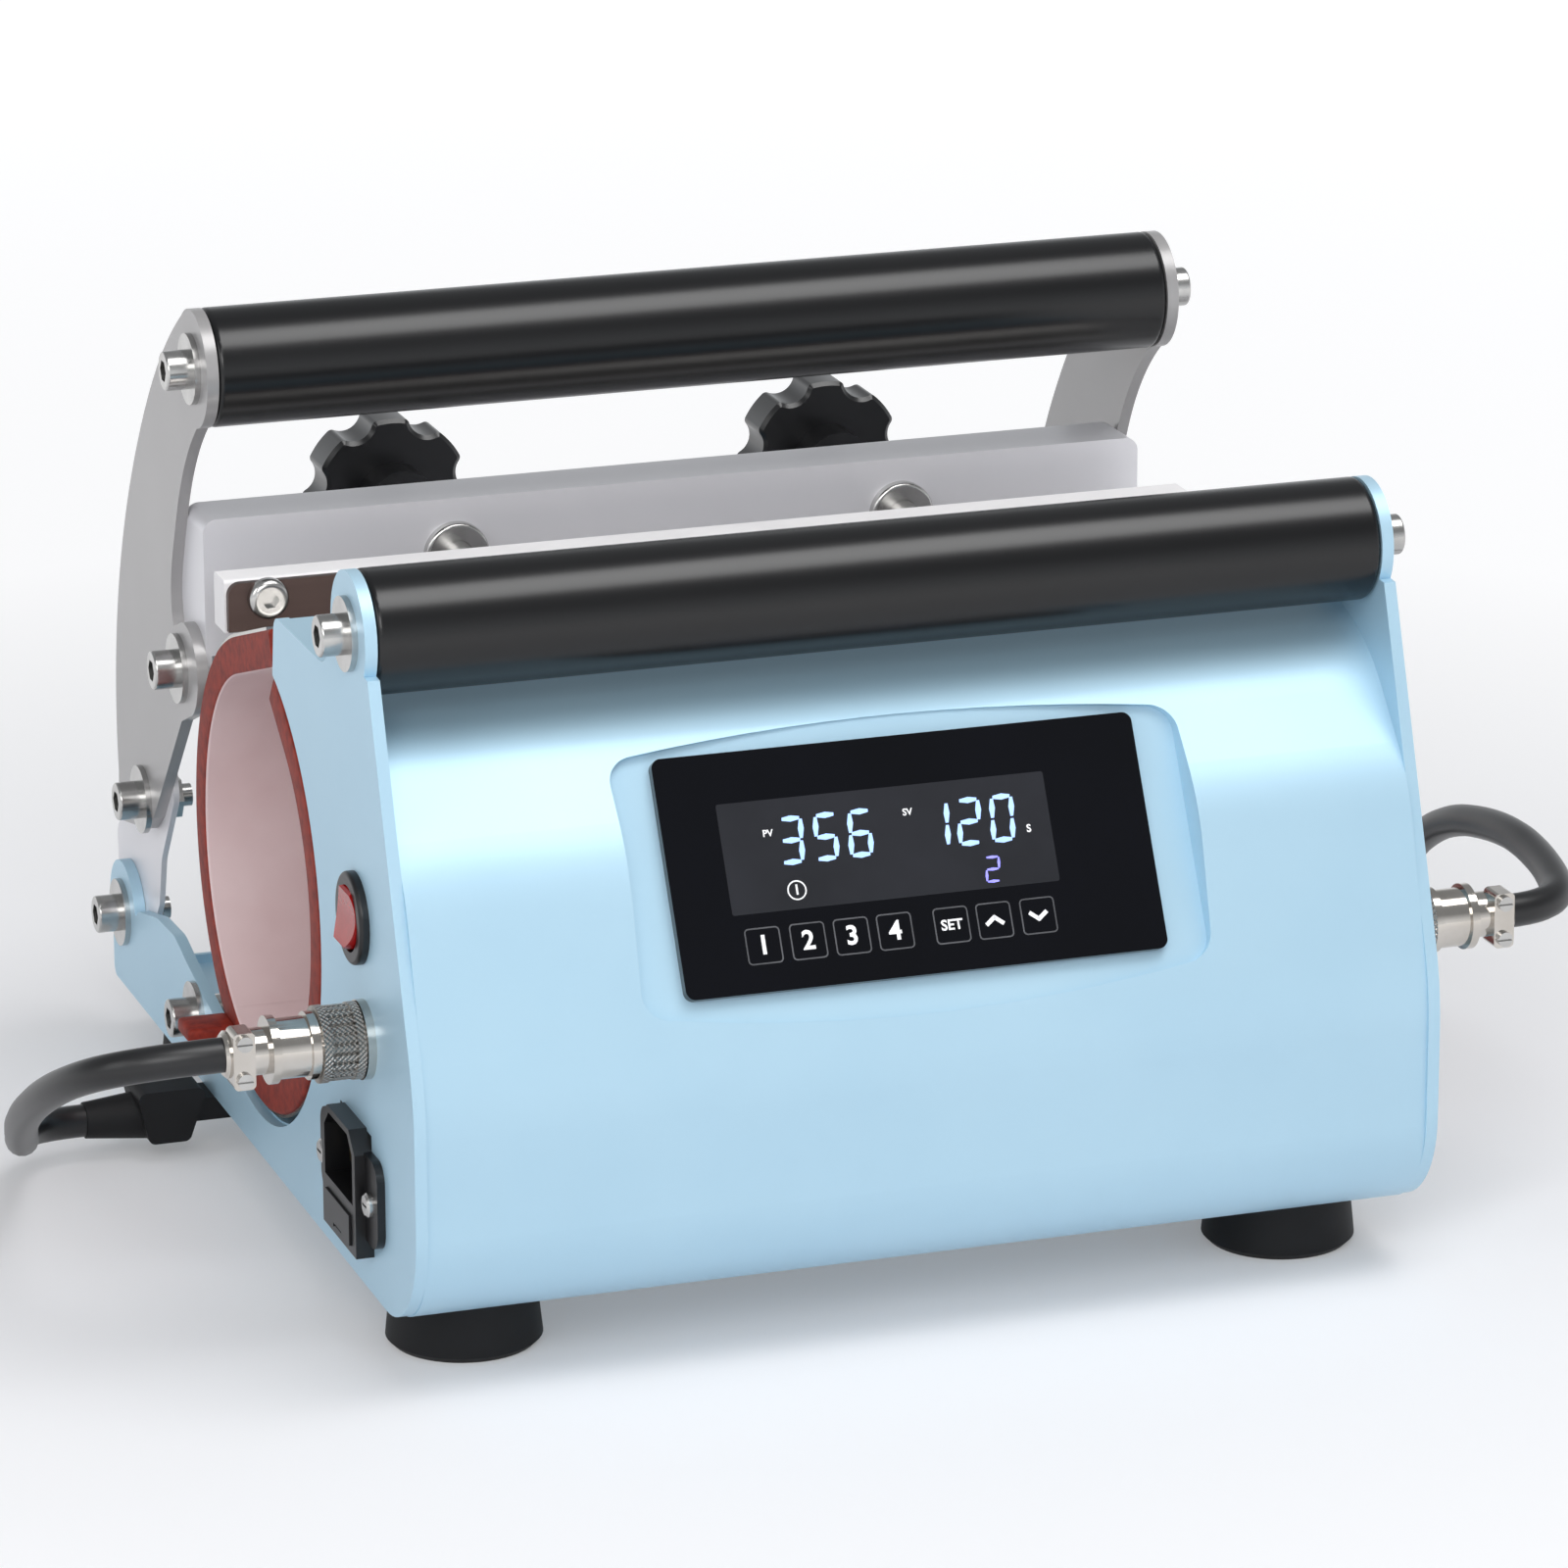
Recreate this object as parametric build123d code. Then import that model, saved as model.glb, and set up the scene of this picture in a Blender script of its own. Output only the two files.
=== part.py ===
from build123d import *
from math import cos, hypot, pi, radians, sin, sqrt, tan
import os

# All sizes are in millimetres. X runs along the press, Y to the rear and Z up.
# The origin is on the floor, at the centre between the four feet.

# Driving dimensions of the housing
plate_outer = 129.0
plate_thickness = 3.0
sheet = 1.5
floor_z = 15.5
shelf_z = 162.5
shelf_front_y = -76.0
shelf_rear_y = -38.6
ring_y = -9.5
ring_z = 88.6
plate_ring_radius = 62.4
cradle_radius = 62.0
cradle_start = 116.0
cradle_end = 300.0
hole_clearance = 0.3
run_clearance = 0.06

# Bolt positions on the side as (Y, Z)
upper_arm_bolt = (60.9, 122.9)
lower_arm_bolt = (103.6, 75.5)
pivot = (130.4, 36.2)
tie_point = (52.6, 32.2)
front_handle = (-102.0, 176.2)
rear_handle = (39.7, 206.3)
connector = (-110.9, 79.2)
switch_centre = (-105.0, 107.5)
inlet_centre = (-100.0, 41.0)

# Side plate outline as (Y, Z, corner radius); its middle corner lies in the round cut
plate_corners = [
    (-151.0, floor_z, 27.0), (-151.0, 76.0, 60.0), (-118.3, 169.0, 0.0), (-88.6, 171.0, 0.0),
    (-79.5, shelf_z, 9.0), (-34.4, shelf_z, 4.5), (-31.8, 146.0, 0.0), (ring_y, ring_z, 0.0),
    (10.0, 33.0, 0.0), (32.0, 37.2, 10.0), (62.0, 43.6, 12.0), (74.0, 46.9, 14.0), (92.0, 46.2, 20.0),
    (113.0, 41.5, 0.0), (130.0, 30.0, 0.0), (141.8, 30.0, 0.0), (141.8, floor_z, 3.0),
]
tab_radius = 15.0
ear_radius = 14.0
plate_corner_rear = 141.8
shelf_edge_radius = 0.4
skirt_inset = 1.0
skirt_overlap = 0.6
skirt_foot = 12.0

# Front cover outline as (Y, Z, corner radius), from the floor edge to the shelf
cover_corners = [
    (-124.5, floor_z, 0.0), (-150.2, floor_z, 25.0), (-150.2, 75.0, 60.0), (-136.0, 124.0, 45.0),
    (-110.0, 151.5, 45.0), (shelf_front_y, shelf_z, 0.0),
]
cover_back_y = -40.0
cover_seam_low = 60.0
cover_seam_high = 140.0
beyond_cover = 200.0
recess_reach = 60.0

# Display recess and glass, in the tilted plane of the glass
glass_centre = (0.0, -131.75, 117.5)
glass_tilt = 28.0
glass_width = 121.0
glass_height = 58.0
glass_thickness = 2.6
glass_corner = 2.4
recess_width = 143.0
recess_top = 29.5
recess_bottom = -32.0
recess_top_rise = 5.0
recess_bottom_drop = 6.0
recess_corner = 7.0
window_x = -5.0
window_width = 84.0
window_low = -10.5
window_high = 17.5
window_clearance = 0.5
display_board = (112.0, 50.0, 4.0)
display_board_drop = 1.0

# Base tray, feet and tie rod
tray_front = -124.0
tray_rear_gap = 3.0
tray_flange = 11.0
tray_tabs = [(-112.0, -98.0), (36.0, 44.0), (60.0, 112.0)]
tray_rear_half = 118.0
tray_rear_flange = 4.0
vent_length = 26.0
vent_width = 3.0
vent_pitch = 9.0
vent_count = 13
vent_y = -46.0
foot_x = 105.3
foot_y = 108.0
foot_radius = 19.0
foot_top_radius = 17.6
foot_bevel = 1.5
foot_recess = 7.0
foot_recess_radius = 6.0
foot_screw_radius = 2.5
foot_screw_length = 24.0
foot_head_radius = 4.8
foot_head_height = 3.2
foot_slot_width = 1.0
foot_slot_depth = 1.2
tie_rod_radius = 5.0

# Control board and what stands on it or beside it, as limits along X and Y
board_span = ((-60.0, 56.0), (-124.0, -84.0))
board_thickness = 1.6
board_lift = 6.0
standoff_inset = 5.5
standoff_radius = 3.2
relay_span = ((8.0, 27.0), (-116.0, -100.0))
relay_height = 15.5
relay_bevel = 0.8
core_span = ((62.0, 96.0), (-122.0, -104.0))
core_height = 32.0
coil_span = ((67.0, 91.0), (-126.0, -100.0))
coil_height = 20.0
coil_corner = 3.0
terminal_span = ((-50.0, -14.0), (-99.0, -87.5))
terminal_height = 11.0
terminal_count = 6
terminal_hole_radius = 1.9
terminal_hole_depth = 4.0

# Handles
handle_radius = 15.0
handle_tube_radius = 12.0
handle_tube_wall = 2.0
handle_plug_length = 18.0
handle_rounding = 1.6

# Screws: M6 socket heads with large washers, M3 and M4 small screws
m6_radius = 3.0
m6_head_radius = 5.0
m6_head_height = 6.0
m6_hex = 5.0
m6_hex_depth = 3.5
m6_head_rounding = 0.6
washer_radius = 9.0
washer_thickness = 1.5
nut_across = 10.0
nut_height = 5.0
screw_depth = 20.0
bolt_depth = 12.5
button_radius = 5.2
button_height = 3.2
button_edge = 0.8
button_rounding = 1.9
button_hex_radius = 2.2
button_hex_depth = 2.0
m3_radius = 1.5

# Heater mat
bore_radius = 50.0
mat_thickness = 9.5
mat_half_length = 128.5
mat_front_angle = 126.0
mat_front_run = 16.0
mat_rear_angle = 432.0
flap_length = 38.0
shell_thickness = 0.8
shell_inset = 1.0
shell_start_step = 2.0
shell_flap_inset = 6.0
lead_tab_length = 12.5
lead_tab_span = ((14.0, 26.0), (38.0, 41.8))
sensor_length = 26.0
sensor_width = 10.0

# Clamp frame; its end plates run just inside the side plates
clamp_side_gap = 0.1
pivot_nut_gap = 0.1
bracket_front = 45.0
bracket_rear = 63.0
bracket_low = 130.0
bracket_top = 165.5
bracket_rounding = 3.5
end_plate_corners = [
    (bracket_front, 126.5, 2.0), (87.0, 97.5, 6.0), (82.5, 81.0, 6.0), (98.0, 60.5, 8.0),
    (102.0, 46.5, 5.0), (116.5, 28.5, 0.0), (146.4, 36.0, 0.0), (146.4, 56.0, 5.0),
    (129.0, 64.0, 8.0), (122.0, 84.0, 15.0), (116.0, 118.0, 20.0), (85.0, 150.0, 10.0),
    (bracket_rear, 160.0, 0.0), (bracket_front, 160.0, 0.0),
]
end_plate_ear = 16.0

# Arms: outer edge and inner edge as curves, the rest straight
arm_rear_edge = [(49.0, 218.0), (70.3, 203.3), (99.0, 173.2), (122.5, 133.1), (130.9, 98.7), (130.6, 76.0)]
arm_low_edge = [(131.0, 63.4), (129.2, 62.2), (101.5, 67.9), (93.4, 73.2), (60.4, 108.9), (49.6, 113.4)]
arm_lobe_top = [(56.5, 136.1), (66.4, 132.6)]
arm_inner_edge = [(66.4, 132.6), (67.9, 142.2), (63.6, 155.5), (55.5, 171.5), (42.3, 187.1), (28.1, 196.8)]
arm_lobe = (54.8, 124.2)
arm_lobe_radius = 12.0
arm_thickness = 3.0

# Pressure bar, strip, studs and knobs
bar_front = 15.0
bar_rear = 25.0
bar_low = 144.4
bar_top = 158.0
bar_rounding = 1.0
strip_inset = 0.5
strip_thickness = 2.0
strip_low = 145.1
strip_top = 157.5
strip_corner = 3.3
strip_screw_inset = 10.0
strip_screw_z = 153.3
strip_screw_depth = 7.0
stud_x = 60.0
stud_z = 151.0
stud_radius = 4.0
stud_tip = 19.0
stud_bevel = 0.6
stud_end_gap = 0.1
bush_radius = 8.5
bush_flange = 2.6
bush_rounding = 1.0
bush_body_radius = 6.0
bush_rear = 55.0
knob_radius = 21.0
knob_front = 103.0
knob_rear = 117.0
knob_boss_front = 93.0
knob_boss_radius = 9.5
knob_lobes = 7
knob_corner = 1.6
knob_bevel = 1.0
knob_groove = (7.0, 12.5, 1.2)
knob_wall = 4.0
scoop_radius = 5.2
scoop_circle = 23.2

# Connectors
socket_radius = 7.5
socket_flange_radius = 9.6
socket_back = 12.0
socket_nose = 4.5
socket_nut_radius = 11.0
socket_nut_height = 3.0
ring_radius = 9.0
ring_bore = 7.58
ring_stand_off = 2.3
ring_length = 10.2
ring_start = plate_outer + ring_stand_off
ring_end = ring_start + ring_length
ring_grooves = 24
groove_radius = 0.45
ring_lip_length = 2.0
ring_lip_height = 0.3
barrel_length = 15.0
barrel_end = ring_end + barrel_length
barrel_radius = 7.3
barrel_rim = 0.9
barrel_rim_length = 2.1
barrel_band = 2.0
barrel_neck = 3.0
clamp_length = 7.7
clamp_end = barrel_end + clamp_length
clamp_radius = 5.7
clamp_bevel = 0.8
saddle_height = 14.0
saddle_cover = 1.2
saddle_screw_lift = 4.6
saddle_screw_radius = 1.9
saddle_screw_height = 1.2
saddle_slot = 0.6

# Cables and their moulded boots; each bend is a (Y, Z) corner and its reach beyond the connector's end
cable_radius = 4.2
corner_share = 0.45
boot_y = 42.0
boot_z = 11.0
boot_gap = 2.5
boot_length = 16.5
boot_nose_length = 14.0
boot_start = plate_outer + boot_gap
boot_end = boot_start + boot_length
boot_nose = boot_end + boot_nose_length
boot_width = 18.0
boot_top = 19.5
boot_low = 5.5
boot_slopes = (5.0, 2.0, 1.0)
boot_rounding = 2.0
boot_tongue = (13.5, 12.0, 6.0)
nose_walls = (2.2, 0.5)
left_reach = [22.8, 34.8, 33.8, 22.8, 14.8]
left_bends = [(connector[0], connector[1]), (-88.0, 68.0), (-44.0, 45.0), (2.0, 21.0), (boot_y, boot_z)]
right_reach = [14.8, 23.8, 28.8, 29.8, 30.8, 18.8]
right_bends = [
    (connector[0], connector[1]), (-84.0, 80.0), (-46.0, 79.0), (0.0, 68.0), (36.0, 40.0), (boot_y, boot_z),
]

# Switch and mains inlet
switch_hole = 10.0
bezel_radius = 11.2
bezel_height = 2.4
bezel_rounding = 1.0
switch_depth = 22.0
switch_pocket = 8.0
switch_blade = (4.8, 0.8, 7.0)
switch_blade_pitch = 5.0
rocker_radius = 7.7
rocker_bore = 8.1
rocker_rise = 1.6
rocker_pivot_depth = 1.0
rocker_below = 2.4
rocker_sweep = 8.0
dish_radius = 17.3
dish_depth = 1.3
rocker_tilt = 7.0
inlet_flange = (50.0, 22.0, 2.0)
inlet_flange_corner = 5.0
inlet_rim = (29.0, 31.0, 4.5)
inlet_rim_corner = 5.0
inlet_body = (27.0, 29.0)
inlet_depth = 28.0
inlet_cavity = (24.4, 16.6)
inlet_cavity_z = 5.6
inlet_cavity_depth = 17.0
inlet_cavity_corner = 4.0
inlet_screw_spacing = 40.0
inlet_head = (3.0, 1.8, 0.6)
inlet_slot = (3.6, 0.6, 1.0)
pin_size = (12.0, 2.0, 4.0)
pin_places = [(-7.0, 3.6), (7.0, 3.6), (0.0, 7.6)]
drawer_size = (21.0, 7.6)
drawer_z = -9.6
drawer_depth = 24.0
drawer_gap = 0.15
drawer_end_gap = 0.5
drawer_proud = 0.6
drawer_wall = 1.2
drawer_front_wall = 2.0
drawer_well = 12.0
drawer_notch = (7.0, 2.0, 1.0)
fuse_gap = 0.4
fuse_radius = 2.5
fuse_length = 20.0

# Derived values
plate_inner = plate_outer - plate_thickness
tray_top = floor_z + sheet
bracket_half = plate_inner - clamp_side_gap
bracket_inner = bracket_half - sheet
arm_outer = bracket_half + arm_thickness
strip_half = mat_half_length - strip_inset
strip_screw_x = strip_half - strip_screw_inset
mat_outer = bore_radius + mat_thickness
shell_outer = mat_outer + shell_thickness
recess_floor_drop = glass_thickness


def outline(corners):
    """Closed face from (y, z, corner radius) points."""
    face = make_face(Polyline([(y, z) for y, z, r in corners], close=True))
    for y, z, r in corners:
        if r:
            corner = min(face.vertices(), key=lambda v: hypot(v.X - y, v.Y - z))
            face = fillet(corner, r)
    return face


def slab(face, x_low, x_high):
    """Solid of a (Y, Z) face between two X positions."""
    return extrude(Plane.YZ.offset(x_low) * face, amount=x_high - x_low)


def disc(centre, radius):
    """Round (Y, Z) face."""
    return Pos(centre[0], centre[1]) * Circle(radius)


def rod(centre, radius, x_low, x_high):
    """Round bar along X."""
    return slab(disc(centre, radius), x_low, x_high)


def block(x_span, y_span, z_span):
    """Box between three pairs of limits."""
    size = [high - low for low, high in (x_span, y_span, z_span)]
    middle = [(high + low) / 2 for low, high in (x_span, y_span, z_span)]
    return Pos(*middle) * Box(*size)


def other_side(shape):
    """Mirror image on the other end of the press."""
    return mirror(shape, about=Plane.YZ)


def both(shape):
    """The shape and its mirror image."""
    return [shape, other_side(shape)]


def ring_point(radius, angle):
    """Point on a circle round the heater's axis."""
    return (ring_y + radius * cos(radians(angle)), ring_z + radius * sin(radians(angle)))


def arc_band(inner, outer, start, end):
    """Ring sector round the heater's axis."""
    low = CenterArc((ring_y, ring_z), inner, start, end - start)
    high = CenterArc((ring_y, ring_z), outer, start, end - start)
    return make_face([low, high, Line(low @ 0, high @ 0), Line(low @ 1, high @ 1)])


def tangent_strip(inner, outer, angle, length, turn):
    """Straight strip that leaves the ring at an angle."""
    low = ring_point(inner, angle)
    high = ring_point(outer, angle)
    step = (-sin(radians(angle)) * length * turn, cos(radians(angle)) * length * turn)
    low_end = (low[0] + step[0], low[1] + step[1])
    high_end = (high[0] + step[0], high[1] + step[1])
    return make_face(Polyline([low, high, high_end, low_end], close=True))


def socket_screw(centre, x_head, x_tip):
    """Socket-head screw along X; the head's bearing face is at x_head."""
    shank = rod(centre, m6_radius, min(x_head, x_tip), max(x_head, x_tip))
    side = 1 if x_head > x_tip else -1
    top = x_head + side * m6_head_height
    head = rod(centre, m6_head_radius, min(x_head, top), max(x_head, top))
    rim = head.faces().sort_by(Axis.X)[-1 if side > 0 else 0].edges()
    head = fillet(rim, m6_head_rounding)
    hexagon = Pos(centre[0], centre[1]) * RegularPolygon(m6_hex / sqrt(3), 6)
    key_end = top - side * m6_hex_depth
    key = slab(hexagon, min(top, key_end), max(top, key_end))
    return shank + head - key


def washer(centre, radius, x_low, x_high):
    """Flat washer along X."""
    return slab(disc(centre, radius) - disc(centre, m6_radius), x_low, x_high)


def nut(centre, x_low, x_high):
    """Hexagon nut along X."""
    face = Pos(*centre) * RegularPolygon(nut_across / sqrt(3), 6) - disc(centre, m6_radius)
    return slab(face, x_low, x_high)


def rod_y(x, z, radius, y_low, y_high):
    """Round bar along Y."""
    return extrude(Plane.XZ.offset(-y_high) * Pos(x, z) * Circle(radius), amount=y_high - y_low)


def save(name, shape):
    """Write one node; a list becomes a group of separate solids."""
    if isinstance(shape, list):
        shape = Compound(children=[solid for item in shape for solid in item.solids()])
    export_step(shape, f"parts/{name}.step")


os.makedirs("parts", exist_ok=True)

# Side plates
plate_face = outline(plate_corners) + disc(front_handle, tab_radius) + disc(pivot, ear_radius)
plate_face = plate_face - disc((ring_y, ring_z), plate_ring_radius)
bolt_hole = m6_radius + hole_clearance
for centre in (front_handle, tie_point):
    plate_face -= disc(centre, bolt_hole)
plate_face -= disc(pivot, m6_radius)
plate_face -= disc(connector, socket_radius)
right_plate = slab(plate_face, plate_inner, plate_outer)
left_face = plate_face - disc(switch_centre, switch_hole)
inlet_hole = [size + 2 * hole_clearance for size in inlet_body]
left_face -= Pos(*inlet_centre) * Rectangle(*inlet_hole)
left_plate = slab(left_face, -plate_outer, -plate_inner)
save("left_side_plate", left_plate)
save("right_side_plate", right_plate)

# Front cover with its recess
glass_plane = Plane(
    origin=glass_centre, x_dir=(1, 0, 0), z_dir=(0, -cos(radians(glass_tilt)), sin(radians(glass_tilt)))
)


def recess_face(margin):
    """Recess outline, grown by a margin, in the plane of the glass."""
    half = recess_width / 2 + margin
    top = recess_top + margin
    low = recess_bottom - margin
    upper = ThreePointArc((-half, top), (0, top + recess_top_rise), (half, top))
    lower = ThreePointArc((-half, low), (0, low - recess_bottom_drop), (half, low))
    face = make_face([upper, lower, Line(upper @ 0, lower @ 0), Line(upper @ 1, lower @ 1)])
    return fillet(face.vertices(), recess_corner + margin)


cover_line = FilletPolyline(
    [(y, z) for y, z, r in cover_corners], radius=[r for y, z, r in cover_corners[1:-1]]
)
cover_region = make_face([
    *cover_line.edges(), Line((shelf_front_y, shelf_z), (cover_back_y, shelf_z)),
    Line((cover_back_y, shelf_z), (cover_back_y, floor_z)),
    Line((cover_back_y, floor_z), (cover_corners[0][0], floor_z)),
])
cover_inside = offset(cover_region, amount=-sheet)
cover_face = cover_region - cover_inside
cover_face &= make_face(Polyline([
    (-beyond_cover, 0), (cover_corners[0][0], 0), (cover_corners[0][0], cover_seam_low),
    (shelf_front_y, cover_seam_high), (shelf_front_y, beyond_cover), (-beyond_cover, beyond_cover)
], close=True))
floor_level = -recess_floor_drop
recess = extrude(glass_plane.offset(floor_level) * recess_face(0), amount=recess_reach)
recess_shell = extrude(glass_plane.offset(floor_level - sheet) * recess_face(sheet), amount=recess_reach)
cover = slab(cover_face, -plate_inner, plate_inner)
cover += recess_shell & slab(cover_region, -plate_inner, plate_inner)
cover -= recess
window_middle = (window_low + window_high) / 2
window_height = window_high - window_low
window = Pos(window_x, window_middle) * Rectangle(window_width, window_height)
cover -= extrude(glass_plane.offset(floor_level - 2 * sheet) * window, amount=3 * sheet)
save("front_cover", cover)

# Top shelf with its folded rear edge
shelf = block((-plate_inner, plate_inner), (shelf_front_y, shelf_rear_y), (shelf_z - sheet, shelf_z))
fold = block((-plate_inner, plate_inner), (shelf_rear_y - sheet, shelf_rear_y), (ring_z, shelf_z))
shelf += fold - rod((ring_y, ring_z), cradle_radius + sheet, -plate_inner, plate_inner)
shelf = fillet(shelf.edges().filter_by(Axis.X).sort_by(Axis.Z)[-1:], shelf_edge_radius)
save("top_shelf", shelf)

# Cradle round the heater, with a skirt that closes the housing behind
skirt_top_y, skirt_top_z = ring_point(cradle_radius + sheet, cradle_end)
cradle_face = arc_band(cradle_radius, cradle_radius + sheet, cradle_start, cradle_end)
cradle = slab(cradle_face, -plate_inner, plate_inner)
skirt_y = skirt_top_y - skirt_inset
skirt_top = skirt_top_z + skirt_overlap
cradle += block((-plate_inner, plate_inner), (skirt_y, skirt_y + sheet), (tray_top, skirt_top))
cradle += block((-plate_inner, plate_inner), (skirt_y, skirt_y + skirt_foot), (tray_top, tray_top + sheet))
save("cradle", cradle)

# Base tray with folded edges
tray_rear = plate_corner_rear - tray_rear_gap
tray = block((-plate_inner, plate_inner), (tray_front, tray_rear), (floor_z, tray_top))
for side in (-1, 1):
    edge = sorted((side * plate_inner, side * (plate_inner - sheet)))
    for tab in tray_tabs:
        tray += block(edge, tab, (floor_z, floor_z + tray_flange))
rear_edge_span = (tray_rear - sheet, tray_rear)
tray += block((-tray_rear_half, tray_rear_half), rear_edge_span, (floor_z, floor_z + tray_rear_flange))
foot_places = [(x, y) for x in (-foot_x, foot_x) for y in (-foot_y, foot_y)]
for x, y in foot_places:
    tray -= Pos(x, y, floor_z) * Cylinder(foot_screw_radius, 4 * sheet)
vent = SlotOverall(vent_length, vent_width, rotation=90)
for column in range(vent_count):
    vent_x = (column - (vent_count - 1) / 2) * vent_pitch
    tray -= extrude(Pos(vent_x, vent_y, floor_z - sheet) * vent, amount=4 * sheet)
save("base_tray", tray)

# Feet and their screws
foot_profile = make_face(Polyline([
    (0, 0), (foot_radius - foot_bevel, 0), (foot_radius, foot_bevel), (foot_top_radius, floor_z),
    (0, floor_z)
], close=True))
foot_solid = revolve(Plane.XZ * foot_profile, Axis.Z)
foot_solid -= Pos(0, 0, foot_recess / 2) * Cylinder(foot_recess_radius, foot_recess)
foot_solid -= Pos(0, 0, floor_z / 2) * Cylinder(foot_screw_radius, floor_z)
head_low = foot_recess - foot_head_height
shank_length = foot_screw_length - foot_recess
foot_screw = Pos(0, 0, (foot_recess + head_low) / 2) * Cylinder(foot_head_radius, foot_head_height)
foot_screw += Pos(0, 0, foot_recess + shank_length / 2) * Cylinder(foot_screw_radius, shank_length)
slot_long = foot_head_radius * 2 / 3
for span in ((slot_long, foot_slot_width / 2), (foot_slot_width / 2, slot_long)):
    foot_screw -= block((-span[0], span[0]), (-span[1], span[1]), (head_low, head_low + foot_slot_depth))
save("rubber_feet", [Pos(x, y, 0) * foot_solid for x, y in foot_places])
save("foot_screws", [Pos(x, y, 0) * foot_screw for x, y in foot_places])

# Handles: sleeve, tube and end plugs
for name, centre, grip_half in (("front", front_handle, plate_inner), ("rear", rear_handle, bracket_half)):
    sleeve = rod(centre, handle_radius, -grip_half, grip_half)
    ends = sleeve.edges().filter_by(GeomType.CIRCLE)
    sleeve = fillet(ends, handle_rounding) - rod(centre, handle_tube_radius, -grip_half, grip_half)
    tube_face = disc(centre, handle_tube_radius) - disc(centre, handle_tube_radius - handle_tube_wall)
    plug_face = disc(centre, handle_tube_radius - handle_tube_wall) - disc(centre, m6_radius)
    save(f"{name}_handle_sleeve", sleeve)
    save(f"{name}_handle_tube", slab(tube_face, -grip_half, grip_half))
    save(f"{name}_handle_plugs", both(slab(plug_face, grip_half - handle_plug_length, grip_half)))

# Screws, washers and nuts of the housing
under_head = plate_outer + washer_thickness
plate_screws = []
plate_washers = []
for centre in (front_handle, tie_point):
    plate_screws += both(socket_screw(centre, under_head, under_head - screw_depth))
for centre in (front_handle, tie_point, pivot):
    plate_washers += both(washer(centre, washer_radius, plate_outer, under_head))
save("plate_screws", plate_screws)
save("plate_washers", plate_washers)
pivot_nut_end = bracket_inner - pivot_nut_gap
save("pivot_screws", both(socket_screw(pivot, under_head, plate_outer - bolt_depth)))
save("pivot_nuts", both(nut(pivot, pivot_nut_end - nut_height, pivot_nut_end)))
tie = rod(tie_point, tie_rod_radius, -plate_inner, plate_inner)
for side in (-1, 1):
    deep = sorted((side * plate_inner, side * (under_head - screw_depth)))
    tie -= rod(tie_point, m6_radius, *deep)
save("tie_rod", tie)

# Glass and the display module behind it
glass_face = fillet(Rectangle(glass_width, glass_height).vertices(), glass_corner)
glass = extrude(glass_plane.offset(-glass_thickness) * glass_face, amount=glass_thickness)
save("display_glass", glass)
board_x, board_y, board_t = display_board
back_level = floor_level - sheet
module_face = Pos(0, -display_board_drop) * Rectangle(board_x, board_y)
module = extrude(glass_plane.offset(back_level - board_t) * module_face, amount=board_t)
lens_size = [size - 2 * window_clearance for size in (window_width, window_height)]
lens_face = Pos(window_x, window_middle) * Rectangle(*lens_size)
module += extrude(glass_plane.offset(back_level) * lens_face, amount=sheet)
save("display_module", module)

# Control board on standoffs, with its relay, transformer and terminal block
board_z = tray_top + board_lift
board_top = board_z + board_thickness
board = block(*board_span, (board_z, board_top))
standoffs = []
for x in (board_span[0][0] + standoff_inset, board_span[0][1] - standoff_inset):
    for y in (board_span[1][0] + standoff_inset, board_span[1][1] - standoff_inset):
        screw_hole = Pos(x, y, board_z) * Cylinder(m3_radius, 2 * board_lift)
        board -= screw_hole
        post = extrude(Pos(x, y, tray_top) * RegularPolygon(standoff_radius, 6), amount=board_lift)
        standoffs.append(post - screw_hole)
save("control_board", board)
save("board_standoffs", standoffs)
relay = block(*relay_span, (board_top, board_top + relay_height))
relay = chamfer(relay.faces().sort_by(Axis.Z)[-1].edges(), relay_bevel)
save("power_relay", relay)
core = block(*core_span, (tray_top, tray_top + core_height))
coil_low = tray_top + (core_height - coil_height) / 2
coil = block(*coil_span, (coil_low, coil_low + coil_height))
coil = fillet(coil.edges().filter_by(Axis.Z), coil_corner)
save("transformer", core + coil)
terminal_top = board_top + terminal_height
terminals = block(*terminal_span, (board_top, terminal_top))
terminal_low, terminal_high = terminal_span[0]
terminal_y = sum(terminal_span[1]) / 2
for index in range(terminal_count):
    x = terminal_low + (terminal_high - terminal_low) * (index + 0.5) / terminal_count
    terminals -= Pos(x, terminal_y, terminal_top) * Cylinder(terminal_hole_radius, 2 * terminal_hole_depth)
save("terminal_block", terminals)

# Heater mat, its shell and its sensor
mat_face = arc_band(bore_radius, mat_outer, mat_front_angle, mat_rear_angle)
mat_face += tangent_strip(bore_radius, mat_outer, mat_front_angle, mat_front_run, -1)
mat_face += tangent_strip(bore_radius, mat_outer, mat_rear_angle, flap_length, 1)
mat = slab(mat_face, -mat_half_length, mat_half_length)
mat += block((-mat_half_length - lead_tab_length, -mat_half_length), *lead_tab_span)
save("heater_wrap", mat)
shell_face = arc_band(mat_outer, shell_outer, mat_front_angle + shell_start_step, mat_rear_angle)
shell_face += tangent_strip(mat_outer, shell_outer, mat_rear_angle, flap_length - shell_flap_inset, 1)
shell_half = mat_half_length - shell_inset
save("wrap_shell", slab(shell_face, -shell_half, shell_half))
half_angle = sensor_width / shell_outer * 90 / pi
sensor = slab(arc_band(shell_outer, cradle_radius, 270 - half_angle, 270 + half_angle), -sensor_length, 0)
save("temperature_sensor", sensor)

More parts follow.
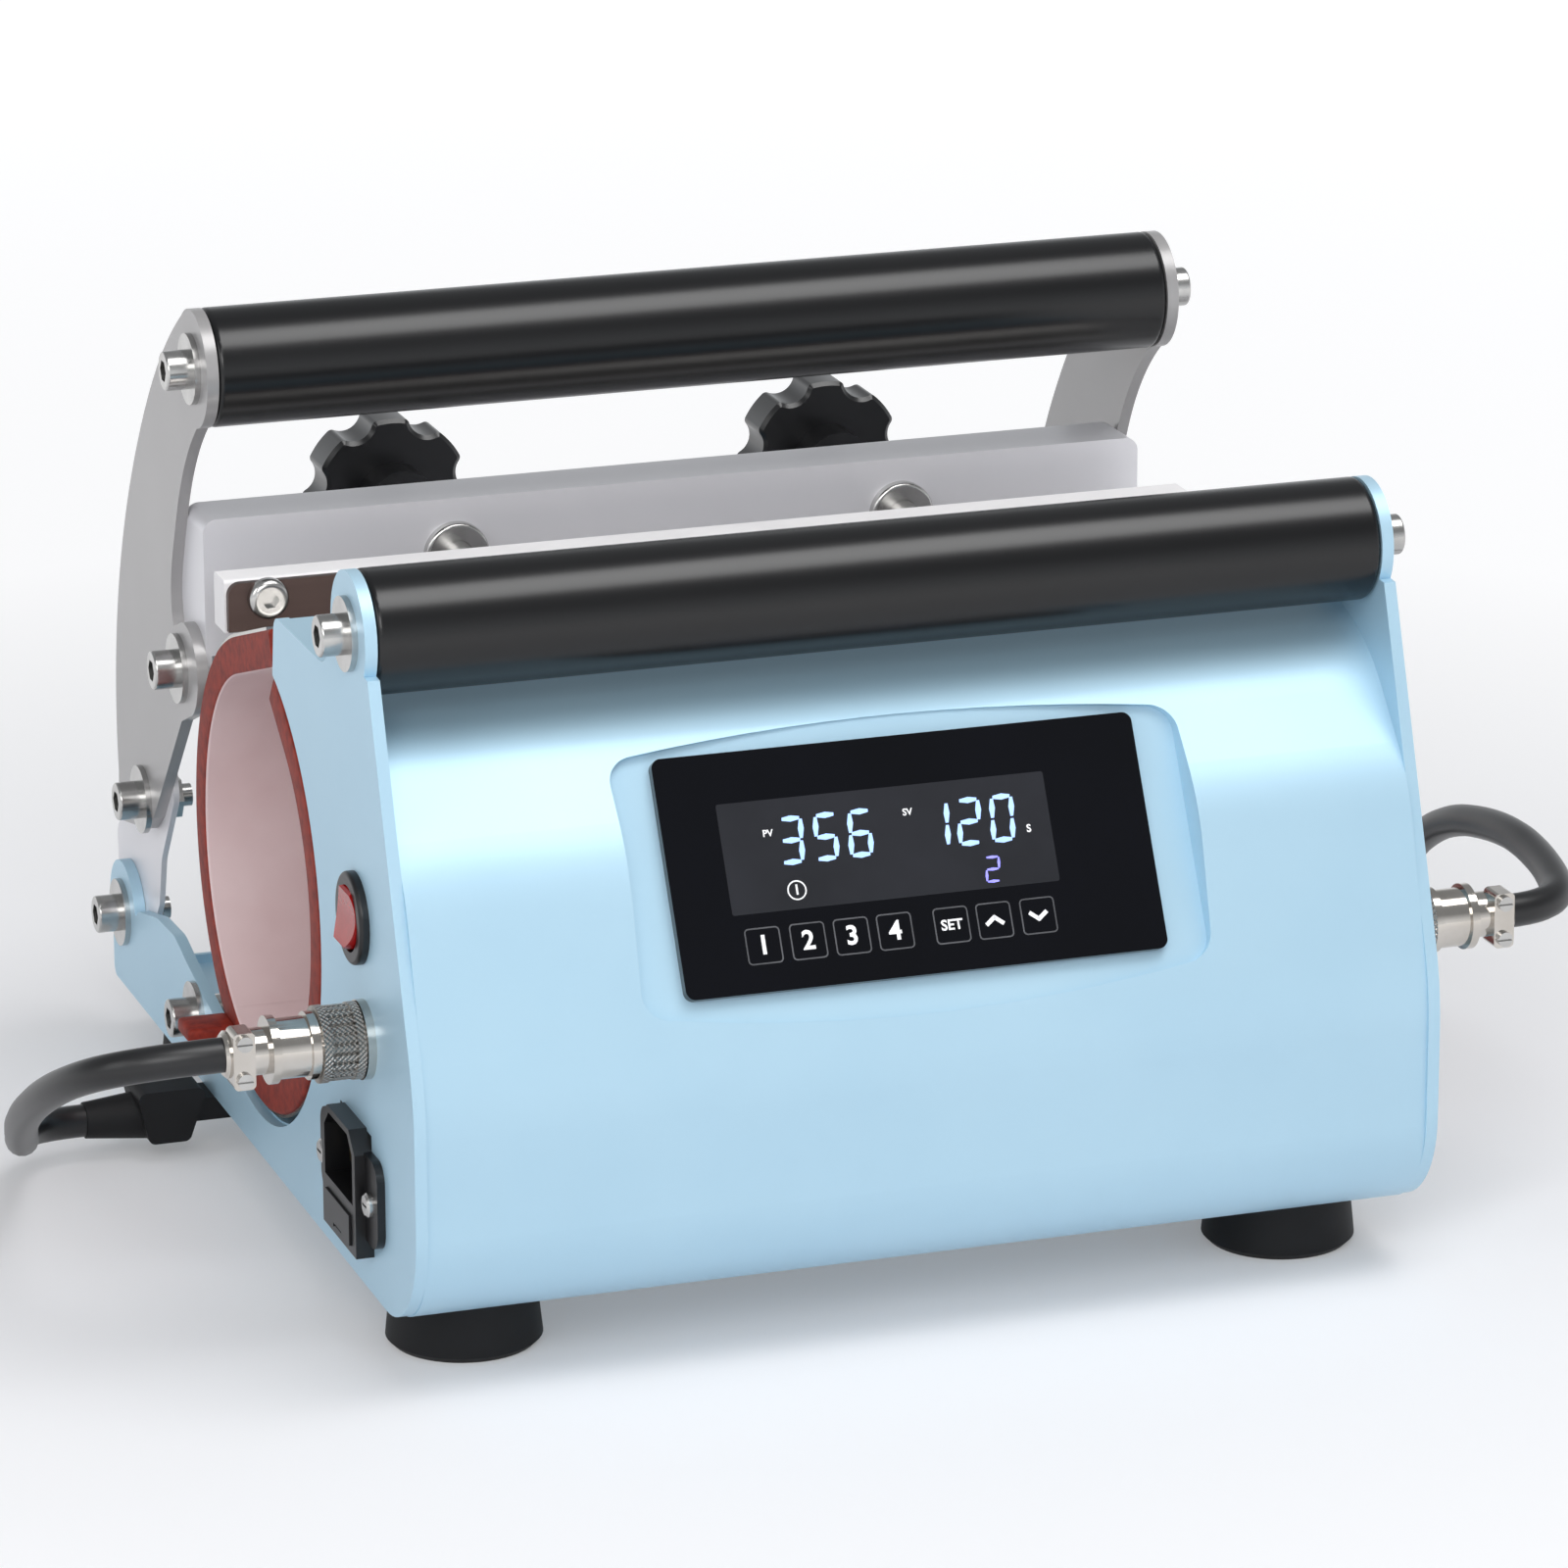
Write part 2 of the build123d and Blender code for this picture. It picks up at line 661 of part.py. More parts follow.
# Clamp bracket: a channel with two end plates
channel_outer = block(
    (-bracket_half, bracket_half), (bracket_front, bracket_rear), (bracket_low, bracket_top)
)
top_edges = channel_outer.edges().filter_by(Axis.Y).group_by(Axis.Z)[-1]
channel_outer = fillet(top_edges, bracket_rounding)
channel_inner = block(
    (-bracket_inner, bracket_inner), (bracket_front + sheet, bracket_rear),
    (bracket_low, bracket_top - sheet)
)
inner_edges = channel_inner.edges().filter_by(Axis.Y).group_by(Axis.Z)[-1]
channel_inner = fillet(inner_edges, bracket_rounding - sheet)
bracket = channel_outer - channel_inner
end_face = outline(end_plate_corners) + disc(pivot, end_plate_ear)
end_face -= disc(pivot, m6_radius + run_clearance)
for centre in (upper_arm_bolt, lower_arm_bolt):
    end_face -= disc(centre, bolt_hole)
bracket += slab(end_face, bracket_inner, bracket_half)
bracket += slab(end_face, -bracket_half, -bracket_inner)
for side in (-1, 1):
    bracket -= rod_y(side * stud_x, stud_z, bush_body_radius, bracket_front, bracket_rear)
save("clamp_bracket", bracket)

# Arms
rear_edge = Spline(arm_rear_edge)
inner_edge = Spline(arm_inner_edge)
arm_face = make_face([
    rear_edge, Polyline([arm_rear_edge[-1], *arm_low_edge, arm_lobe, *arm_lobe_top]),
    inner_edge, Line(arm_inner_edge[-1], arm_rear_edge[0]),
])
arm_face = arm_face + disc(arm_lobe, arm_lobe_radius) + disc(rear_handle, handle_radius)
for centre in (upper_arm_bolt, lower_arm_bolt, rear_handle):
    arm_face -= disc(centre, bolt_hole)
right_arm = slab(arm_face, bracket_half, arm_outer)
save("right_arm", right_arm)
save("left_arm", other_side(right_arm))
arm_head = arm_outer + washer_thickness
arm_screws = both(socket_screw(rear_handle, arm_head, arm_head - screw_depth))
arm_washers = []
arm_nuts = []
for centre in (upper_arm_bolt, lower_arm_bolt, rear_handle):
    arm_washers += both(washer(centre, washer_radius, arm_outer, arm_head))
for centre in (upper_arm_bolt, lower_arm_bolt):
    arm_screws += both(socket_screw(centre, arm_head, arm_outer - bolt_depth))
    arm_nuts += both(nut(centre, bracket_inner - nut_height, bracket_inner))
save("arm_screws", arm_screws)
save("arm_washers", arm_washers)
save("arm_nuts", arm_nuts)

# Pressure bar with the clamp strip on its front
bar = block((-mat_half_length, mat_half_length), (bar_front, bar_rear), (bar_low, bar_top))
bar = fillet(bar.edges().filter_by(Axis.X).group_by(Axis.Z)[-1], bar_rounding)
for side in (-1, 1):
    bar -= rod_y(side * stud_x, stud_z, stud_radius + run_clearance, stud_tip - stud_end_gap, bar_rear)
    bar -= rod_y(side * strip_screw_x, strip_screw_z, m6_radius, bar_front, bar_front + strip_screw_depth)
save("insulating_bar", bar)
strip_middle = (strip_low + strip_top) / 2
strip_face = Pos(0, strip_middle) * Rectangle(2 * strip_half, strip_top - strip_low)
strip_face = fillet(strip_face.vertices().group_by(Axis.Y)[-1], strip_corner)
strip = extrude(Plane.XZ.offset(-bar_front) * strip_face, amount=strip_thickness)
strip_screws = []
for side in (-1, 1):
    x = side * strip_screw_x
    face_y = bar_front - strip_thickness
    strip -= rod_y(x, strip_screw_z, m6_radius, face_y, bar_front)
    top_y = face_y - button_height
    head = rod_y(x, strip_screw_z, button_radius, top_y, face_y)
    head = fillet(head.faces().sort_by(Axis.Y)[0].edges(), button_rounding)
    key_face = Plane.XZ.offset(-top_y) * Pos(x, strip_screw_z) * RegularPolygon(button_hex_radius, 6)
    head -= extrude(key_face, amount=-button_hex_depth)
    strip_screws.append(head + rod_y(x, strip_screw_z, m6_radius, face_y, bar_front + strip_screw_depth))
save("clamp_strip", strip)
save("strip_screws", strip_screws)

# Flanged bushes in the channel and the adjusting studs
bushes = []
for side in (-1, 1):
    x = side * stud_x
    flange = rod_y(x, stud_z, bush_radius, bracket_front - bush_flange, bracket_front)
    flange = fillet(flange.faces().sort_by(Axis.Y)[0].edges(), bush_rounding)
    flange += rod_y(x, stud_z, bush_body_radius, bracket_front, bush_rear)
    flange_front = bracket_front - bush_flange
    bushes.append(flange - rod_y(x, stud_z, stud_radius + run_clearance, flange_front, bush_rear))
save("adjuster_bushes", bushes)

# Star knobs
knob_face = Circle(knob_radius)
for index in range(knob_lobes):
    turn = radians(360.0 / knob_lobes * (index + 0.5) + 90.0)
    knob_face -= Pos(scoop_circle * cos(turn), scoop_circle * sin(turn)) * Circle(scoop_radius)
knob_face = fillet(knob_face.vertices(), knob_corner)
knob = extrude(Plane.XZ.offset(-knob_rear) * knob_face, amount=knob_rear - knob_front)
knob_ends = knob.faces().filter_by(Axis.Y)
knob = chamfer(knob_ends[0].edges() + knob_ends[1].edges(), knob_bevel)
knob += rod_y(0, 0, knob_boss_radius, knob_boss_front, knob_front)
groove_in, groove_out, groove_depth = knob_groove
groove = rod_y(0, 0, groove_out, knob_rear - groove_depth, knob_rear)
knob -= groove - rod_y(0, 0, groove_in, knob_rear - groove_depth, knob_rear)
stud_end = knob_rear - knob_wall
knob -= rod_y(0, 0, stud_radius, knob_boss_front, stud_end)
stud = rod_y(0, 0, stud_radius, stud_tip, stud_end)
stud = chamfer(stud.edges().filter_by(GeomType.CIRCLE).sort_by(Axis.Y)[0], stud_bevel)
for name, side in (("left", -1), ("right", 1)):
    save(f"{name}_knob", Pos(side * stud_x, 0, stud_z) * knob)
    save(f"{name}_stud", Pos(side * stud_x, 0, stud_z) * stud)

# Cable connectors, modelled on the right end and mirrored
socket_solid = rod(connector, socket_flange_radius, plate_outer, ring_start - hole_clearance)
socket_solid += rod(connector, socket_radius, plate_inner - socket_back, ring_start + socket_nose)
socket_nut = Pos(*connector) * RegularPolygon(socket_nut_radius, 6)
socket_solid += slab(socket_nut, plate_inner - socket_nut_height, plate_inner)
save("panel_sockets", both(socket_solid))
ring_face = disc(connector, ring_radius) - disc(connector, ring_bore)
for index in range(ring_grooves):
    turn = radians(360.0 / ring_grooves * index)
    place = (connector[0] + ring_radius * cos(turn), connector[1] + ring_radius * sin(turn))
    ring_face -= disc(place, groove_radius)
ring_lip = disc(connector, ring_radius + ring_lip_height) - disc(connector, ring_bore)
right_ring = slab(ring_face, ring_start + ring_lip_length, ring_end - ring_lip_length)
right_ring += slab(ring_lip, ring_start, ring_start + ring_lip_length)
right_ring += slab(ring_lip, ring_end - ring_lip_length, ring_end)
save("right_plug_ring", right_ring)
save("left_plug_ring", other_side(right_ring))
rim_start = ring_end + hole_clearance
rim_end = rim_start + barrel_rim_length
neck_start = barrel_end - barrel_neck
plug = rod(connector, socket_radius, ring_start + socket_nose, rim_end)
plug += rod(connector, barrel_radius + barrel_rim, rim_start, rim_end)
plug += rod(connector, barrel_radius, rim_start, neck_start)
plug += rod(connector, barrel_radius + barrel_rim, neck_start - barrel_band, neck_start)
plug += rod(connector, clamp_radius, neck_start, barrel_end)
save("plug_bodies", both(plug))
grip = rod(connector, clamp_radius, barrel_end, clamp_end)
grip = chamfer(grip.edges().filter_by(GeomType.CIRCLE).sort_by(Axis.X)[-1], clamp_bevel)
saddle_front = connector[0] - clamp_radius - saddle_cover
saddle_x = (barrel_end + saddle_cover, clamp_end - saddle_cover)
saddle_z = (connector[1] - saddle_height / 2, connector[1] + saddle_height / 2)
saddle = block(saddle_x, (saddle_front, connector[0]), saddle_z)
grip += fillet(saddle.edges().filter_by(Axis.Y), saddle_cover)
clamp_screws = []
saddle_middle = sum(saddle_x) / 2
for lift in (-saddle_screw_lift, saddle_screw_lift):
    screw_z = connector[1] + lift
    head_front = saddle_front - saddle_screw_height
    head = rod_y(saddle_middle, screw_z, saddle_screw_radius, head_front, saddle_front)
    clamp_screws.append(head - block(
        (saddle_middle - saddle_screw_radius, saddle_middle + saddle_screw_radius),
        (head_front, head_front + saddle_slot), (screw_z - saddle_slot / 2, screw_z + saddle_slot / 2)
    ))
save("cable_clamps", both(grip))
save("cable_clamp_screws", clamp_screws + [other_side(item) for item in clamp_screws])


def cable(name, corners):
    """Cable along straight runs between corners, with tangent arcs."""
    runs = [hypot(*(b - a for a, b in zip(p, q))) for p, q in zip(corners, corners[1:])]
    steps = [[(b - a) / run for a, b in zip(p, q)] for p, q, run in zip(corners, corners[1:], runs)]
    radii = []
    for index in range(1, len(runs)):
        turn = Vector(*steps[index - 1]).get_angle(Vector(*steps[index]))
        radii.append(corner_share * min(runs[index - 1], runs[index]) / tan(radians(turn) / 2))
    path = FilletPolyline(corners, radius=radii)
    section = Plane(origin=corners[0], z_dir=steps[0]) * Circle(cable_radius)
    tube = sweep(section, path=path.wire())
    expected = pi * cable_radius**2 * path.length
    print(name, "radii", [round(r, 1) for r in radii], "length", round(path.length, 1),
          "volume ratio", round(tube.volume / expected, 4))
    return tube


def route(side, reach, bends):
    """Route from a connector to its boot, bending at distances beyond the connector's end."""
    middle = [(side * (clamp_end + out), y, z) for out, (y, z) in zip(reach, bends)]
    return [(side * clamp_end, *connector), *middle, (side * boot_nose, boot_y, boot_z)]


save("left_cable", cable("left_cable", route(-1, left_reach, left_bends)))
save("right_cable", cable("right_cable", route(1, right_reach, right_bends)))

# Moulded boots, whose tongues lie under the tray
slope_in, slope_out, slope_low = boot_slopes
boot_face = make_face(Polyline([
    (boot_start, boot_top), (boot_end + slope_out, boot_top), (boot_end - slope_low, boot_low),
    (boot_start + slope_in, boot_low)
], close=True))
boot = extrude(Plane.XZ.offset(-boot_y - boot_width / 2) * boot_face, amount=boot_width)
boot = fillet(boot.edges().filter_by(Axis.Y), boot_rounding)
nose = Plane(origin=(boot_end - slope_out, boot_y, boot_z), z_dir=(1, 0, 0))
tip = Plane(origin=(boot_nose, boot_y, boot_z), z_dir=(1, 0, 0))
nose_wall, tip_wall = nose_walls
boot += loft([nose * Circle(cable_radius + nose_wall), tip * Circle(cable_radius + tip_wall)])
tongue_length, tongue_width, tongue_height = boot_tongue
tongue_y = (boot_y - tongue_width / 2, boot_y + tongue_width / 2)
tongue_x = (boot_start - tongue_length, boot_start + slope_in)
boot += block(tongue_x, tongue_y, (floor_z - tongue_height, floor_z))
save("cable_boots", both(boot))

# Rocker switch
bezel_front = -plate_outer - bezel_height
bezel = rod(switch_centre, bezel_radius, bezel_front, -plate_outer)
bezel = fillet(bezel.faces().sort_by(Axis.X)[0].edges(), bezel_rounding)
switch_back = -plate_outer + switch_depth
bezel += rod(switch_centre, switch_hole, -plate_outer, switch_back)
bezel -= rod(switch_centre, rocker_bore, bezel_front, -plate_outer + switch_pocket)
blade_width, blade_height, blade_length = switch_blade
for index in (-1, 0, 1):
    blade_z = switch_centre[1] + index * switch_blade_pitch
    bezel += block(
        (switch_back, switch_back + blade_length),
        (switch_centre[0] - blade_width / 2, switch_centre[0] + blade_width / 2),
        (blade_z - blade_height / 2, blade_z + blade_height / 2)
    )
save("switch_bezel", bezel)
rocker_pivot_x = -plate_outer + rocker_pivot_depth
button_front = bezel_front - rocker_rise
button = rod(switch_centre, rocker_radius, button_front, rocker_pivot_x + rocker_below)
dish_x = button_front + dish_depth - dish_radius
dish_face = Plane.XZ * Pos(dish_x, switch_centre[1]) * Circle(dish_radius)
button -= extrude(dish_face, amount=2 * plate_outer, both=True)
sweep_face = Plane.XZ * Pos(rocker_pivot_x, switch_centre[1]) * Circle(rocker_sweep)
button &= extrude(sweep_face, amount=2 * plate_outer, both=True)
rocker_axis = Axis((rocker_pivot_x, 0, switch_centre[1]), (0, 1, 0))
button = button.rotate(rocker_axis, rocker_tilt)
save("rocker_button", button)

# Mains inlet with its fuse drawer, drawn about its own centre and then placed
inlet_y, inlet_z = inlet_centre


def inlet_block(width, height, x_low, x_high, lift=0.0):
    """Box centred on the inlet, optionally lifted."""
    return block(
        (x_low, x_high), (inlet_y - width / 2, inlet_y + width / 2),
        (inlet_z + lift - height / 2, inlet_z + lift + height / 2)
    )


wing = inlet_block(inlet_flange[0], inlet_flange[1], -plate_outer - inlet_flange[2], -plate_outer)
wing = fillet(wing.edges().filter_by(Axis.X), inlet_flange_corner)
rim_front = -plate_outer - inlet_rim[2]
rim = inlet_block(inlet_rim[0], inlet_rim[1], rim_front, -plate_outer)
rim = chamfer(rim.edges().filter_by(Axis.X).group_by(Axis.Z)[-1], inlet_rim_corner)
housing = wing + rim
housing += inlet_block(inlet_body[0], inlet_body[1], -plate_outer, -plate_outer + inlet_depth)
cavity_back = rim_front + inlet_cavity_depth
cavity = inlet_block(*inlet_cavity, rim_front, cavity_back, inlet_cavity_z)
cavity = chamfer(cavity.edges().filter_by(Axis.X).group_by(Axis.Z)[-1], inlet_cavity_corner)
housing -= cavity
drawer_hole = [size + 2 * drawer_gap for size in drawer_size]
housing -= inlet_block(*drawer_hole, rim_front, rim_front + drawer_depth + drawer_end_gap, drawer_z)
inlet_screws = []
wing_front = -plate_outer - inlet_flange[2]
head_radius, head_height, head_bevel = inlet_head
slot_length, slot_width, slot_depth = inlet_slot
head_front = wing_front - head_height
for side in (-1, 1):
    place = (inlet_y + side * inlet_screw_spacing / 2, inlet_z)
    housing -= rod(place, m3_radius, wing_front, -plate_outer)
    head = rod(place, head_radius, head_front, wing_front)
    head = chamfer(head.faces().sort_by(Axis.X)[0].edges(), head_bevel)
    slot = block(
        (head_front, head_front + slot_depth), (place[0] - slot_length / 2, place[0] + slot_length / 2),
        (inlet_z - slot_width / 2, inlet_z + slot_width / 2)
    )
    inlet_screws.append(head + rod(place, m3_radius, wing_front, -plate_outer) - slot)
save("inlet_housing", housing)
save("inlet_screws", inlet_screws)
pins = []
pin_length, pin_width, pin_height = pin_size
for offset_y, lift in pin_places:
    pins.append(block(
        (cavity_back - pin_length, cavity_back),
        (inlet_y + offset_y - pin_width / 2, inlet_y + offset_y + pin_width / 2),
        (inlet_z + lift - pin_height / 2, inlet_z + lift + pin_height / 2)
    ))
save("inlet_pins", pins)
drawer_back = rim_front + drawer_depth
drawer = inlet_block(*drawer_size, rim_front - drawer_proud, drawer_back, drawer_z)
well_front = rim_front + drawer_front_wall
drawer -= inlet_block(
    drawer_well, drawer_size[1], well_front, drawer_back - drawer_wall, drawer_z + drawer_wall
)
notch_width, notch_height, notch_depth = drawer_notch
notch_back = rim_front - drawer_proud + notch_depth
notch_z = drawer_z - drawer_size[1] / 2
drawer -= inlet_block(notch_width, notch_height, rim_front - drawer_proud, notch_back, notch_z)
save("fuse_drawer", drawer)
fuse_z = inlet_z + notch_z + drawer_wall + fuse_radius
fuse_front = well_front + fuse_gap
save("fuse", rod((inlet_y, fuse_z), fuse_radius, fuse_front, fuse_front + fuse_length))
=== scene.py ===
# %% [markdown]
# # A tumbler heat press
#
# The metal frame of the press was drawn as exact solids, which model.glb holds. This notebook dresses it: it
# gives every solid its finish, bends the soft heater mat and the two cables, and adds the display's light.
# The first cell loads the solids as a fixed frame. Nothing in that frame is moved, so every new piece can be
# placed with the same numbers that the drawing has.

# %% Load the frame
import bmesh
import bpy
from math import cos, pi, radians, sin
from mathutils import Matrix, Vector


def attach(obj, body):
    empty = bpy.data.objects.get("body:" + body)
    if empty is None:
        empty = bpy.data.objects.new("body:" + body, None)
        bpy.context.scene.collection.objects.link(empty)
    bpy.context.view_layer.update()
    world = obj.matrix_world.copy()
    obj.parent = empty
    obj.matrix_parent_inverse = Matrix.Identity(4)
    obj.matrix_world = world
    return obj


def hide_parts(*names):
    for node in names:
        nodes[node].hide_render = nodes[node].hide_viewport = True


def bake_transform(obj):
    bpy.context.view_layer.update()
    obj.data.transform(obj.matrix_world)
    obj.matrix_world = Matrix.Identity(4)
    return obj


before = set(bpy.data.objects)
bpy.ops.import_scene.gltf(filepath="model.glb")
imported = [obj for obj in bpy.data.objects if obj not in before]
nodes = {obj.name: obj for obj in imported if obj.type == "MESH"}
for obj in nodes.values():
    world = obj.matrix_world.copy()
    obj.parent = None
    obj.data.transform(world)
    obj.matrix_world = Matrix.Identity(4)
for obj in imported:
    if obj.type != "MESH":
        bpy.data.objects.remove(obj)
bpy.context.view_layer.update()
print("solids in the frame:", len(nodes))

# %% [markdown]
# Drawings of small machines are in millimetres, and Blender counts in metres. One short function turns one
# into the other, so that the sizes below can be read against the real press.

# %% Millimetres
def mm(*values):
    """Millimetres as metres: one number, or a Vector of several."""
    if len(values) == 1:
        return values[0] / 1000
    return Vector(values) / 1000


ring_axis = mm(0, -9.5, 88.6)
bore_radius = mm(50)
mat_thickness = mm(9.5)
foil_thickness = mm(0.8)
half_length = mm(128.5)
connector_y, connector_z = -110.9, 79.2  # the axis of both cable connectors, in millimetres

# %% [markdown]
# ## The camera
#
# A product photograph like this one is taken with a long lens from a few steps away, so the long edges stay
# nearly parallel. The camera below stands at the height and angle that were worked out from the picture's
# own corners: a little to the left, looking down by seventeen degrees.

# %% Camera
camera_place = mm(-577.68, -1743.43, 663.65)
turn_right = radians(18.71)
look_down = radians(17.16)
lean = radians(-0.18)
ahead = Vector((sin(turn_right) * cos(look_down), cos(turn_right) * cos(look_down), -sin(look_down)))
level = Vector((cos(turn_right), -sin(turn_right), 0))
upright = level.cross(ahead)
side = level * cos(lean) + upright * sin(lean)
top = upright * cos(lean) - level * sin(lean)
camera = bpy.data.objects.new("camera", bpy.data.cameras.new("camera"))
camera.data.sensor_width = 36
camera.data.lens = 174.06
camera.data.clip_end = 20
camera.matrix_world = Matrix.Translation(camera_place) @ Matrix((side, top, -ahead)).transposed().to_4x4()
bpy.context.scene.collection.objects.link(camera)
bpy.context.scene.camera = camera
bpy.context.scene.view_settings.view_transform = "Standard"
print("camera looks from", [round(v, 3) for v in camera_place])

# %% [markdown]
# ## Colours and nodes
#
# A colour picked from a picture is an sRGB hex value, and Blender's shaders want linear numbers, so one
# function turns the first into the second. A second small function adds a node with its settings and links.
# With these two and the helpers built on them, each finish below reads as a short recipe.

# %% Colour and node helpers
def linear(hex_value):
    """An sRGB hex colour as linear red, green, blue and an alpha of 1."""
    parts = [int(hex_value[i:i + 2], 16) / 255 for i in (1, 3, 5)]
    return tuple(c / 12.92 if c <= 0.04045 else ((c + 0.055) / 1.055) ** 2.4 for c in parts) + (1.0,)


def node(material, kind, inputs=None, **settings):
    """Add a node; an input given a socket is linked, and any other value is set."""
    made = material.node_tree.nodes.new(kind)
    for name, value in settings.items():
        setattr(made, name, value)
    for name, value in (inputs or {}).items():
        if isinstance(value, bpy.types.NodeSocket):
            material.node_tree.links.new(value, made.inputs[name])
        else:
            made.inputs[name].default_value = value
    return made


def finish(name, inputs):
    """A new material with one Principled shader, and its shader node."""
    material = bpy.data.materials.new(name)
    material.use_nodes = True
    shader = material.node_tree.nodes["Principled BSDF"]
    for socket, value in inputs.items():
        shader.inputs[socket].default_value = value
    material.diffuse_color = shader.inputs["Base Color"].default_value
    return material, shader


def wear_in(material, shader, light, dark, patch_mm, grain_mm, bump_mm, stretch=(1, 1, 1)):
    """Let a surface's colour drift slightly over patches, and give it a fine bump."""
    links = material.node_tree.links
    place = node(material, "ShaderNodeTexCoord")
    spread = node(material, "ShaderNodeMapping", {"Vector": place.outputs["Object"], "Scale": stretch})
    patches = node(material, "ShaderNodeTexNoise", {
        "Vector": spread.outputs["Vector"], "Scale": 1000 / patch_mm, "Detail": 3.0, "Roughness": 0.55})
    ramp = node(material, "ShaderNodeValToRGB", {"Fac": patches.outputs["Fac"]})
    ramp.color_ramp.elements[0].position = 0.3
    ramp.color_ramp.elements[1].position = 0.7
    ramp.color_ramp.elements[0].color = linear(dark)
    ramp.color_ramp.elements[1].color = linear(light)
    grain = node(material, "ShaderNodeTexNoise", {
        "Vector": spread.outputs["Vector"], "Scale": 1000 / grain_mm, "Detail": 2.0})
    bump = node(material, "ShaderNodeBump", {
        "Height": grain.outputs["Fac"], "Distance": mm(bump_mm), "Strength": 1.0})
    links.new(ramp.outputs["Color"], shader.inputs["Base Color"])
    links.new(bump.outputs["Normal"], shader.inputs["Normal"])


def worn(name, inputs, light, dark, patch_mm, grain_mm, bump_mm, stretch=(1, 1, 1)):
    """A finish that drifts between two tones and has a fine bump."""
    material, shader = finish(name, inputs)
    wear_in(material, shader, light, dark, patch_mm, grain_mm, bump_mm, stretch)
    return material


dressed = []


def give(material, *names):
    """Put a finish on frame solids."""
    for name in names:
        nodes[name].data.materials.clear()
        nodes[name].data.materials.append(material)
        dressed.append(name)

# %% [markdown]
# ## The stage
#
# A plain pale floor and a plain room. The floor takes the soft shadow that tells the eye where the press
# stands. Its paper is lit like the press is, and what the camera and the mirrors see of it gets a little
# extra, so that it turns white without more light on the press. The room is bright along the horizon and
# dimmer overhead, as a studio is, so metal gets light and dark streaks, and black parts stay black.

# %% Floor
floor_sheet = bmesh.new()
bmesh.ops.create_grid(floor_sheet, x_segments=1, y_segments=1, size=6.0)
floor_mesh = bpy.data.meshes.new("floor")
floor_sheet.to_mesh(floor_mesh)
floor_sheet.free()
floor = bpy.data.objects.new("floor", floor_mesh)
bpy.context.scene.collection.objects.link(floor)
paper, paper_shader = finish("studio_paper", {
    "Base Color": linear("#E2E2E5"), "Roughness": 0.8, "Specular IOR Level": 0.1})
rays = node(paper, "ShaderNodeLightPath")
seen = node(paper, "ShaderNodeMath", {
    0: rays.outputs["Is Camera Ray"], 1: rays.outputs["Is Glossy Ray"]}, operation="MAXIMUM")
seen_too = node(paper, "ShaderNodeMath", {
    0: seen.outputs[0], 1: rays.outputs["Is Transmission Ray"]}, operation="MAXIMUM")
spot = node(paper, "ShaderNodeTexCoord")
reach = node(paper, "ShaderNodeVectorMath", {0: spot.outputs["Object"]}, operation="LENGTH")
lift = node(paper, "ShaderNodeMapRange", {
    "Value": reach.outputs["Value"], "From Min": 0.3, "From Max": 2.2, "To Min": 0.56, "To Max": 0.94})
near = node(paper, "ShaderNodeMapRange", {
    "Value": reach.outputs["Value"], "From Min": 0.22, "From Max": 0.6, "To Min": 0.4, "To Max": 1.0})
share = node(paper, "ShaderNodeMath", {
    0: near.outputs["Result"], 1: seen_too.outputs[0]}, operation="MULTIPLY")
shade = node(paper, "ShaderNodeBsdfDiffuse", {"Color": linear("#B4B4B6")})
glow = node(paper, "ShaderNodeEmission", {"Color": (1, 1, 1, 1), "Strength": lift.outputs["Result"]})
white = node(paper, "ShaderNodeAddShader", {0: shade.outputs["BSDF"], 1: glow.outputs["Emission"]})
mixed = node(paper, "ShaderNodeMixShader", {
    "Fac": share.outputs[0], 1: paper_shader.outputs["BSDF"], 2: white.outputs["Shader"]})
paper.node_tree.links.new(mixed.outputs["Shader"], paper.node_tree.nodes["Material Output"].inputs["Surface"])
floor_mesh.materials.append(paper)

# %% Room
room = bpy.data.worlds.new("room")
room.use_nodes = True
bpy.context.scene.world = room
sky = room.node_tree.nodes["Background"]
direction = node(room, "ShaderNodeTexCoord")
height = node(room, "ShaderNodeSeparateXYZ", {"Vector": direction.outputs["Generated"]})
dim = node(room, "ShaderNodeMapRange", {
    "Value": height.outputs["Z"], "From Min": 0.08, "From Max": 0.45, "To Min": 1.0, "To Max": 0.34})
room.node_tree.links.new(dim.outputs["Result"], sky.inputs["Strength"])
sky.inputs["Color"].default_value = linear("#F4F7FA")

# %% [markdown]
# Three soft boxes light the press. The main one hangs high in front, a little to the right, and brightens
# the shoulder of the curved cover. A weaker one stands low in front, and the weakest on the left, where the
# side plate stays darker.

# %% Lamps
def soft_box(name, place, aim, size, power):
    """A rectangular studio lamp that points at a spot."""
    lamp = bpy.data.lights.new(name, "AREA")
    lamp.shape = "RECTANGLE"
    lamp.size, lamp.size_y = size
    lamp.energy = power
    holder = bpy.data.objects.new(name, lamp)
    turn = (aim - place).to_track_quat("-Z", "Y").to_matrix().to_4x4()
    holder.matrix_world = Matrix.Translation(place) @ turn
    bpy.context.scene.collection.objects.link(holder)


middle = mm(0, 0, 100)
soft_box("high_box", mm(300, -480, 1450), middle, (1.2, 0.7), 13)
soft_box("front_box", mm(-550, -1300, 950), middle, (0.8, 0.6), 7)
soft_box("left_box", mm(-1350, -550, 850), middle, (0.7, 0.7), 3.5)

